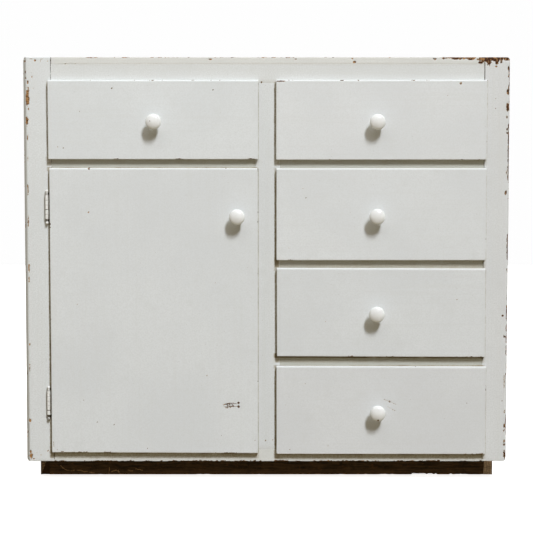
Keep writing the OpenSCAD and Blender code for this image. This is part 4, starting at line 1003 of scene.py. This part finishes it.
# Chips in the knobs: across, up and radius
KNOB_CHIPS = {"left_drawer_knob": (-6.6, 1.3, 1.0), "fourth_drawer_knob": (0.4, -13.6, 1.9)}


def knob_profile(r, stand):
    """Radius and height above the seat, from the foot over the rim to the middle of the face."""
    rim_at = r - HEAD_RIM
    cap = (rim_at ** 2 + HEAD_HALF ** 2 - HEAD_RIM ** 2) / (2 * (HEAD_HALF - HEAD_RIM))
    off = cap - HEAD_HALF
    meet = math.atan2(rim_at, off)
    cap_end = rim_at + HEAD_RIM * math.sin(meet)
    wide_neck = NECK * 1.06

    def dome(radius):
        return math.sqrt(cap ** 2 - radius ** 2)

    profile = [(0.0, 0.0), (ROSE * 0.96, 0.0), (ROSE, 0.4 * MM), (ROSE, 1.3 * MM),
               (ROSE * 0.95, ROSE_TOP)]
    neck_end = stand + off - dome(wide_neck)
    for i in range(1, 8):
        t = i / 8
        waist = NECK * (1 + 0.42 * (1 - t) ** 2.4) * (1 - 0.02 * math.sin(math.pi * t))
        profile.append((waist, ROSE_TOP + (neck_end - ROSE_TOP) * t))
    for i in range(8):
        radius = wide_neck + (cap_end - wide_neck) * i / 8
        profile.append((radius, stand + off - dome(radius)))
    for i in range(21):
        a = meet + (math.pi - 2 * meet) * i / 20
        profile.append((rim_at + HEAD_RIM * math.sin(a), stand - HEAD_RIM * math.cos(a)))
    for i in range(1, 17):
        radius = cap_end * (1 - i / 16)
        profile.append((radius, stand - off + dome(radius)))
    return profile


def knob(node, body, material):
    """A knob, turned from its profile about the axis of the CAD knob."""
    low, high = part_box(node)
    cx, cz = (low.x + high.x) / 2, (low.z + high.z) / 2
    middle = low.y + HEAD_HALF
    points, faces, rings = [], [], []
    for radius, height in knob_profile((high.x - low.x) / 2, high.y - middle):
        turns = 1 if radius < 1e-7 else KNOB_TURNS
        rings.append([len(points) + k % turns for k in range(KNOB_TURNS)])
        for k in range(turns):
            a = 2 * math.pi * k / turns
            points.append((cx + radius * math.cos(a), high.y - height, cz + radius * math.sin(a)))
    for a, b in zip(rings, rings[1:]):
        for k in range(KNOB_TURNS):
            n = (k + 1) % KNOB_TURNS
            if a[0] == a[1]:
                faces.append((a[0], b[n], b[k]))
            elif b[0] == b[1]:
                faces.append((a[k], a[n], b[0]))
            else:
                faces.append((a[k], a[n], b[n], b[k]))
    points = np.array(points)
    chip = np.zeros(len(points))
    if node in KNOB_CHIPS:
        dx, dz, size = KNOB_CHIPS[node]
        seen = points[:, 1] < middle + 2.5 * MM
        d = np.hypot(points[:, 0] - cx - dx * MM, points[:, 2] - cz - dz * MM)
        chip[seen] = ramp(1.6, 0.4, d[seen] / (size * MM))
    mesh_object(node + "_glazed", points, faces, body, node, {"chip": chip}, material,
                40)


porcelain = glazed("glazed_porcelain")
for front_name in FRONTS:
    knob(front_name + "_knob", front_name, porcelain)


# Plinth

def kick_board():
    """The kick board, with bites in its foot and splits in its face."""
    low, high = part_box("kick_board")
    s = slab((low.x, high.x), (low.z, high.z), low.y, high.y, (0.4, 0.4, 0.12, 0.5), step=1.5)
    p, flat = s["points"], s["flat"]
    x, z = flat[:, 0] / MM, flat[:, 2] / MM
    line = along_line(flat[:, 0])
    bite = 0.6 * ramp(0.75, 0.95, fractal(line, 18 * MM, 401))
    teeth = 0.6 + 0.8 * fractal(line, 6 * MM, 405)
    for left, right, height in BITES:
        bite = np.maximum(bite, height * teeth * ramp(left - 2, left + 2, x)
                          * ramp(right + 2, right - 2, x))
    wander = 2 * (fractal(flat, 6 * MM, 419) - 0.5)
    crack = np.zeros(len(p))
    for a, b in zip(LONG_SPLIT, LONG_SPLIT[1:]):
        crack = np.maximum(crack, ramp(1.35, 0.2, segment_distance(x, z + wander, *a, *b)[0]))
    for split in SHORT_SPLITS:
        crack = np.maximum(crack, 0.9 * ramp(1.5, 0.3, segment_distance(x, z, *split)[0]))
    worn = edge_wear(s, (0.2, 0.2, 0.60, 0), (2, 2, 1.8, 0), 409)
    broken = 0.62 + 0.7 * fractal(flat, 7 * MM, 413)
    chip = np.maximum(crack * broken, worn * 0.62)
    chip[s["behind"] > 6 * MM] = 0
    points = p - normals_of(p, s["faces"]) * (ramp(0.4, 0.8, crack) * 0.6 * MM)[:, None]
    rough = (fractal(flat, 9 * MM, 417) - 0.5) * 1.2 * MM * ramp(0, 3 * MM, s["inset"].min(1))
    points[:, 1] += np.where(s["behind"] < 0.5 * MM, np.abs(rough), 0)
    points[:, 2] += bite * ramp(9, 0, z) * MM
    mesh_object("kick_board_worn", points, s["faces"], "carcass", "kick_board",
                {"chip": chip}, dark_plinth("plinth_dark"))


def plinth_runner(name, x, seed, pale, split):
    """One plinth runner. split says that a wedge has split off along a slanting line."""
    low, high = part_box("plinth_runners")
    s = slab(x, (low.z, high.z), low.y, high.y, (0.5, 0.5, 0.8, 0.4), step=1.0, side_step=12)
    flat = s["flat"]
    seen = s["behind"] < 3 * MM
    rough = fractal(flat, 2.2 * MM, seed) * 0.7 * MM
    wave = (0.5 + 0.5 * np.sin((flat[:, 2] * 0.9 + flat[:, 0] * 0.4) / (0.75 * MM))) * 0.35 * MM
    chip = np.zeros(len(flat))
    push = np.where(seen, rough + wave, 0)
    if split:
        slant = (flat[:, 0] - x[0]) / MM - (flat[:, 2] / MM) * 0.34 - 1.0
        slant = slant + (fractal(flat, 4 * MM, 443) - 0.5) * 3
        gone = ramp(0.0, 1.6, slant) * seen
        push = push + gone * 2.4 * MM
        chip = gone * 0.9
    worn = edge_wear(s, (0.5, 0.5, 0.6, 0), (1.6, 1.6, 2.2, 0), seed + 3)
    chip = np.maximum(chip, np.where(seen, worn * 0.6, 0))
    points = s["points"].copy()
    points[:, 1] += push
    mesh_object(name, points, s["faces"], "carcass", "plinth_runners",
                {"chip": chip}, end_grain(name + "_grain", pale))


kick_board()
runners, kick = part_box("plinth_runners"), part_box("kick_board")
plinth_runner("left_plinth_runner", (runners[0].x, kick[0].x), 431, (0.33, 0.225, 0.14), True)
plinth_runner("right_plinth_runner", (kick[1].x, runners[1].x), 439, (0.86, 0.67, 0.52), False)

# Nodes that keep their CAD shape


def coat(node, material, bevel=0.0):
    """Gives a carried-over CAD node its material and softened edges."""
    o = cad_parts[node]
    o.data.materials.clear()
    o.data.materials.append(material)
    if bevel:
        b = o.modifiers.new("soft_edges", "BEVEL")
        b.width = bevel * MM
        b.segments = 2
        b.limit_method = "ANGLE"
        b.angle_limit = math.radians(40)
        b.harden_normals = False


SIDE_EDGES = (("y", BEHIND_Y, 0.004), ("z", TOP_Z, 0.006), ("z", FOOT_Z, 0.006),
              ("y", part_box("side_panel_left")[1].y, 0.005))
RUNNER_WOOD = ((0.50, 0.34, 0.19), (0.30, 0.175, 0.085))
DRAWER_WOOD = ((0.52, 0.37, 0.22), (0.34, 0.21, 0.11))
BOTTOM_WOOD = ((0.55, 0.40, 0.25), (0.42, 0.28, 0.16), 7.0, False, 0.25)
for side, seed in (("left", 9.0), ("right", 13.0)):
    coat("side_panel_" + side, old_paint("paint_side_" + side, FRAME_PAINT, "z", seed, False,
                                         edges=SIDE_EDGES), 0.6)
for node, wood, along, seed, bevel in (
        ("partition", "partition", "z", 1, 0.4), ("bottom_board", "bottom", "x", 2, 0.4),
        ("shelf", "shelf", "x", 3, 0.8), ("shelf_cleats", "cleats", "y", 4, 0.6)):
    coat(node, bare_wood("wood_" + wood, along, seed), bevel)
coat("back_panel", bare_wood("wood_back", "z", 5, (0.36, 0.235, 0.125), (0.20, 0.115, 0.055),
                             10.0, False, 0.5, 0.8), 0.3)
for i, node in enumerate(("left_drawer_runners", "right_outer_runners", "right_inner_runners",
                          "bottom_guides")):
    coat(node, bare_wood("wood_" + node, "y", 6 + i, *RUNNER_WOOD), 0.5)
for i, drawer in enumerate(DRAWERS):
    for part, along, seed, wood, bevel in (
            ("_sides", "y", 20, DRAWER_WOOD, 0.8), ("_back", "x", 30, DRAWER_WOOD, 0.6),
            ("_bottom", "x", 40, BOTTOM_WOOD, 0)):
        coat(drawer + part, bare_wood("wood_" + drawer + part, along, seed + i, *wood), bevel)
steel = old_metal("screw_steel", (0.55, 0.53, 0.50), (0.20, 0.13, 0.08), 1.0)
brass = old_metal("catch_brass", (0.62, 0.47, 0.22), (0.24, 0.15, 0.06), 2.0)
for nodes, material, bevel in (
        (("hinge_frame_leaves", "hinge_door_leaves", "hinge_pins"), hinge_paint("hinge_paint"), 0.35),
        (["carcass_screws", "door_screws", "door_knob_screw"], steel, 0),
        ([drawer + "_screw" for drawer in DRAWERS], steel, 0),
        (("catch_body", "catch_strike"), brass, 0.25)):
    for node in nodes:
        coat(node, material, bevel)


# Floor, light and camera

def floor():
    """A white floor that glows, and glows less under and close to the cabinet, as painted shade."""
    bm = bmesh.new()
    bmesh.ops.create_grid(bm, x_segments=8, y_segments=8, size=6.0)
    mesh = bpy.data.meshes.new("floor")
    bm.to_mesh(mesh)
    bm.free()
    o = bpy.data.objects.new("floor", mesh)
    bpy.context.scene.collection.objects.link(o)
    m = Maker("floor_white")
    low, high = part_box("plinth_runners")
    inside = 14 * MM
    across = m.math("SUBTRACT", m.math("ABSOLUTE", m.axis(0)), high.x - inside)
    along = m.math("SUBTRACT", low.y + inside, m.axis(1))
    # Weaker glow inside the cabinet's footprint: painted shade under the cabinet.
    glow_dimmed_as_shade = m.span(m.math("MAXIMUM", across, along), 0.0, 6 * MM, 0.10, 0.90)
    mesh.materials.append(m.finish(m.mix(m.noise(3.0), (0.80, 0.80, 0.79), (0.84, 0.84, 0.83)), 0.9,
                                   Emission_Color=(1.0, 1.0, 0.995), Emission_Strength=glow_dimmed_as_shade))
    o.visible_diffuse = False
    o.visible_glossy = False


def studio():
    """A world that is white to the camera and a warm grey room to the cabinet."""
    world = bpy.data.worlds.new("studio")
    bpy.context.scene.world = world
    w = Nodes(world)
    coord = w.add("ShaderNodeTexCoord").outputs["Generated"]
    up = w.add("ShaderNodeSeparateXYZ", [coord]).outputs[2]
    height = w.add("ShaderNodeMapRange", (up, -0.25, 0.35), interpolation_type="SMOOTHSTEP")
    tints = {"Factor": height.outputs[0], 6: (0.308, 0.258, 0.168), 7: (0.095, 0.084, 0.064)}
    tint = w.add("ShaderNodeMix", tints, data_type="RGBA").outputs[2]
    room = w.add("ShaderNodeBackground", [tint]).outputs[0]
    white = w.add("ShaderNodeBackground", [(0.992, 0.992, 0.992)]).outputs[0]
    camera_ray = w.add("ShaderNodeLightPath").outputs["Is Camera Ray"]
    pick = w.add("ShaderNodeMixShader", (camera_ray, room, white)).outputs[0]
    w.add("ShaderNodeOutputWorld", [pick])


def add_light(name, kind, energy, colour, where, target, **values):
    """A light at one place, turned towards another."""
    data = bpy.data.lights.new(name, kind)
    data.energy = energy
    data.color = colour
    for k, v in values.items():
        setattr(data, k, v)
    o = bpy.data.objects.new(name, data)
    bpy.context.scene.collection.objects.link(o)
    o.location = where
    o.rotation_euler = (Vector(target) - Vector(where)).to_track_quat("-Z", "Y").to_euler()


floor()
studio()
# The key is a tall narrow window: four suns, one above another
for i, key_height in enumerate((1.02, 1.17, 1.33, 1.48)):
    add_light("key_%d" % i, "SUN", 0.718, (0.97, 1.0, 1.06), (1.41, -3.0, 3 * key_height),
              (0, 0, 0), angle=math.radians(7.0))
for name, energy, colour, where, target, size, size_y in (
        ("top_fill", 7.0, (1, 1, 1), (-0.3, -1.2, 1.95), (-0.1, FACE_Y, 0.7), 2.0, 0.8),
        ("left_rim", 4.0, (1, 1, 0.98), (-4.0, 0.5, 1.3), (-0.5, 0.1, 0.5), 1.6, 2.2),
        ("back_fill", 62.0, (1, 0.99, 0.97), (-2.4, 3.4, 2.0), (-0.1, 0.3, 0.4), 2.4, 1.6)):
    add_light(name, "AREA", energy, colour, where, target, shape="RECTANGLE", size=size,
              size_y=size_y)

camera = bpy.data.objects.new("camera", bpy.data.cameras.new("camera"))
bpy.context.scene.collection.objects.link(camera)
camera.location = (0.0, FACE_Y - CAMERA_BACK, CAMERA_HEIGHT)
camera.rotation_euler = (math.pi / 2 - CAMERA_PITCH, 0, 0)
camera.data.lens = CAMERA_LENS
camera.data.sensor_width = CAMERA_SENSOR
camera.data.clip_end = 60.0
bpy.context.scene.camera = camera
bpy.context.scene.view_settings.view_transform = "Standard"
bpy.context.scene.view_settings.look = "None"
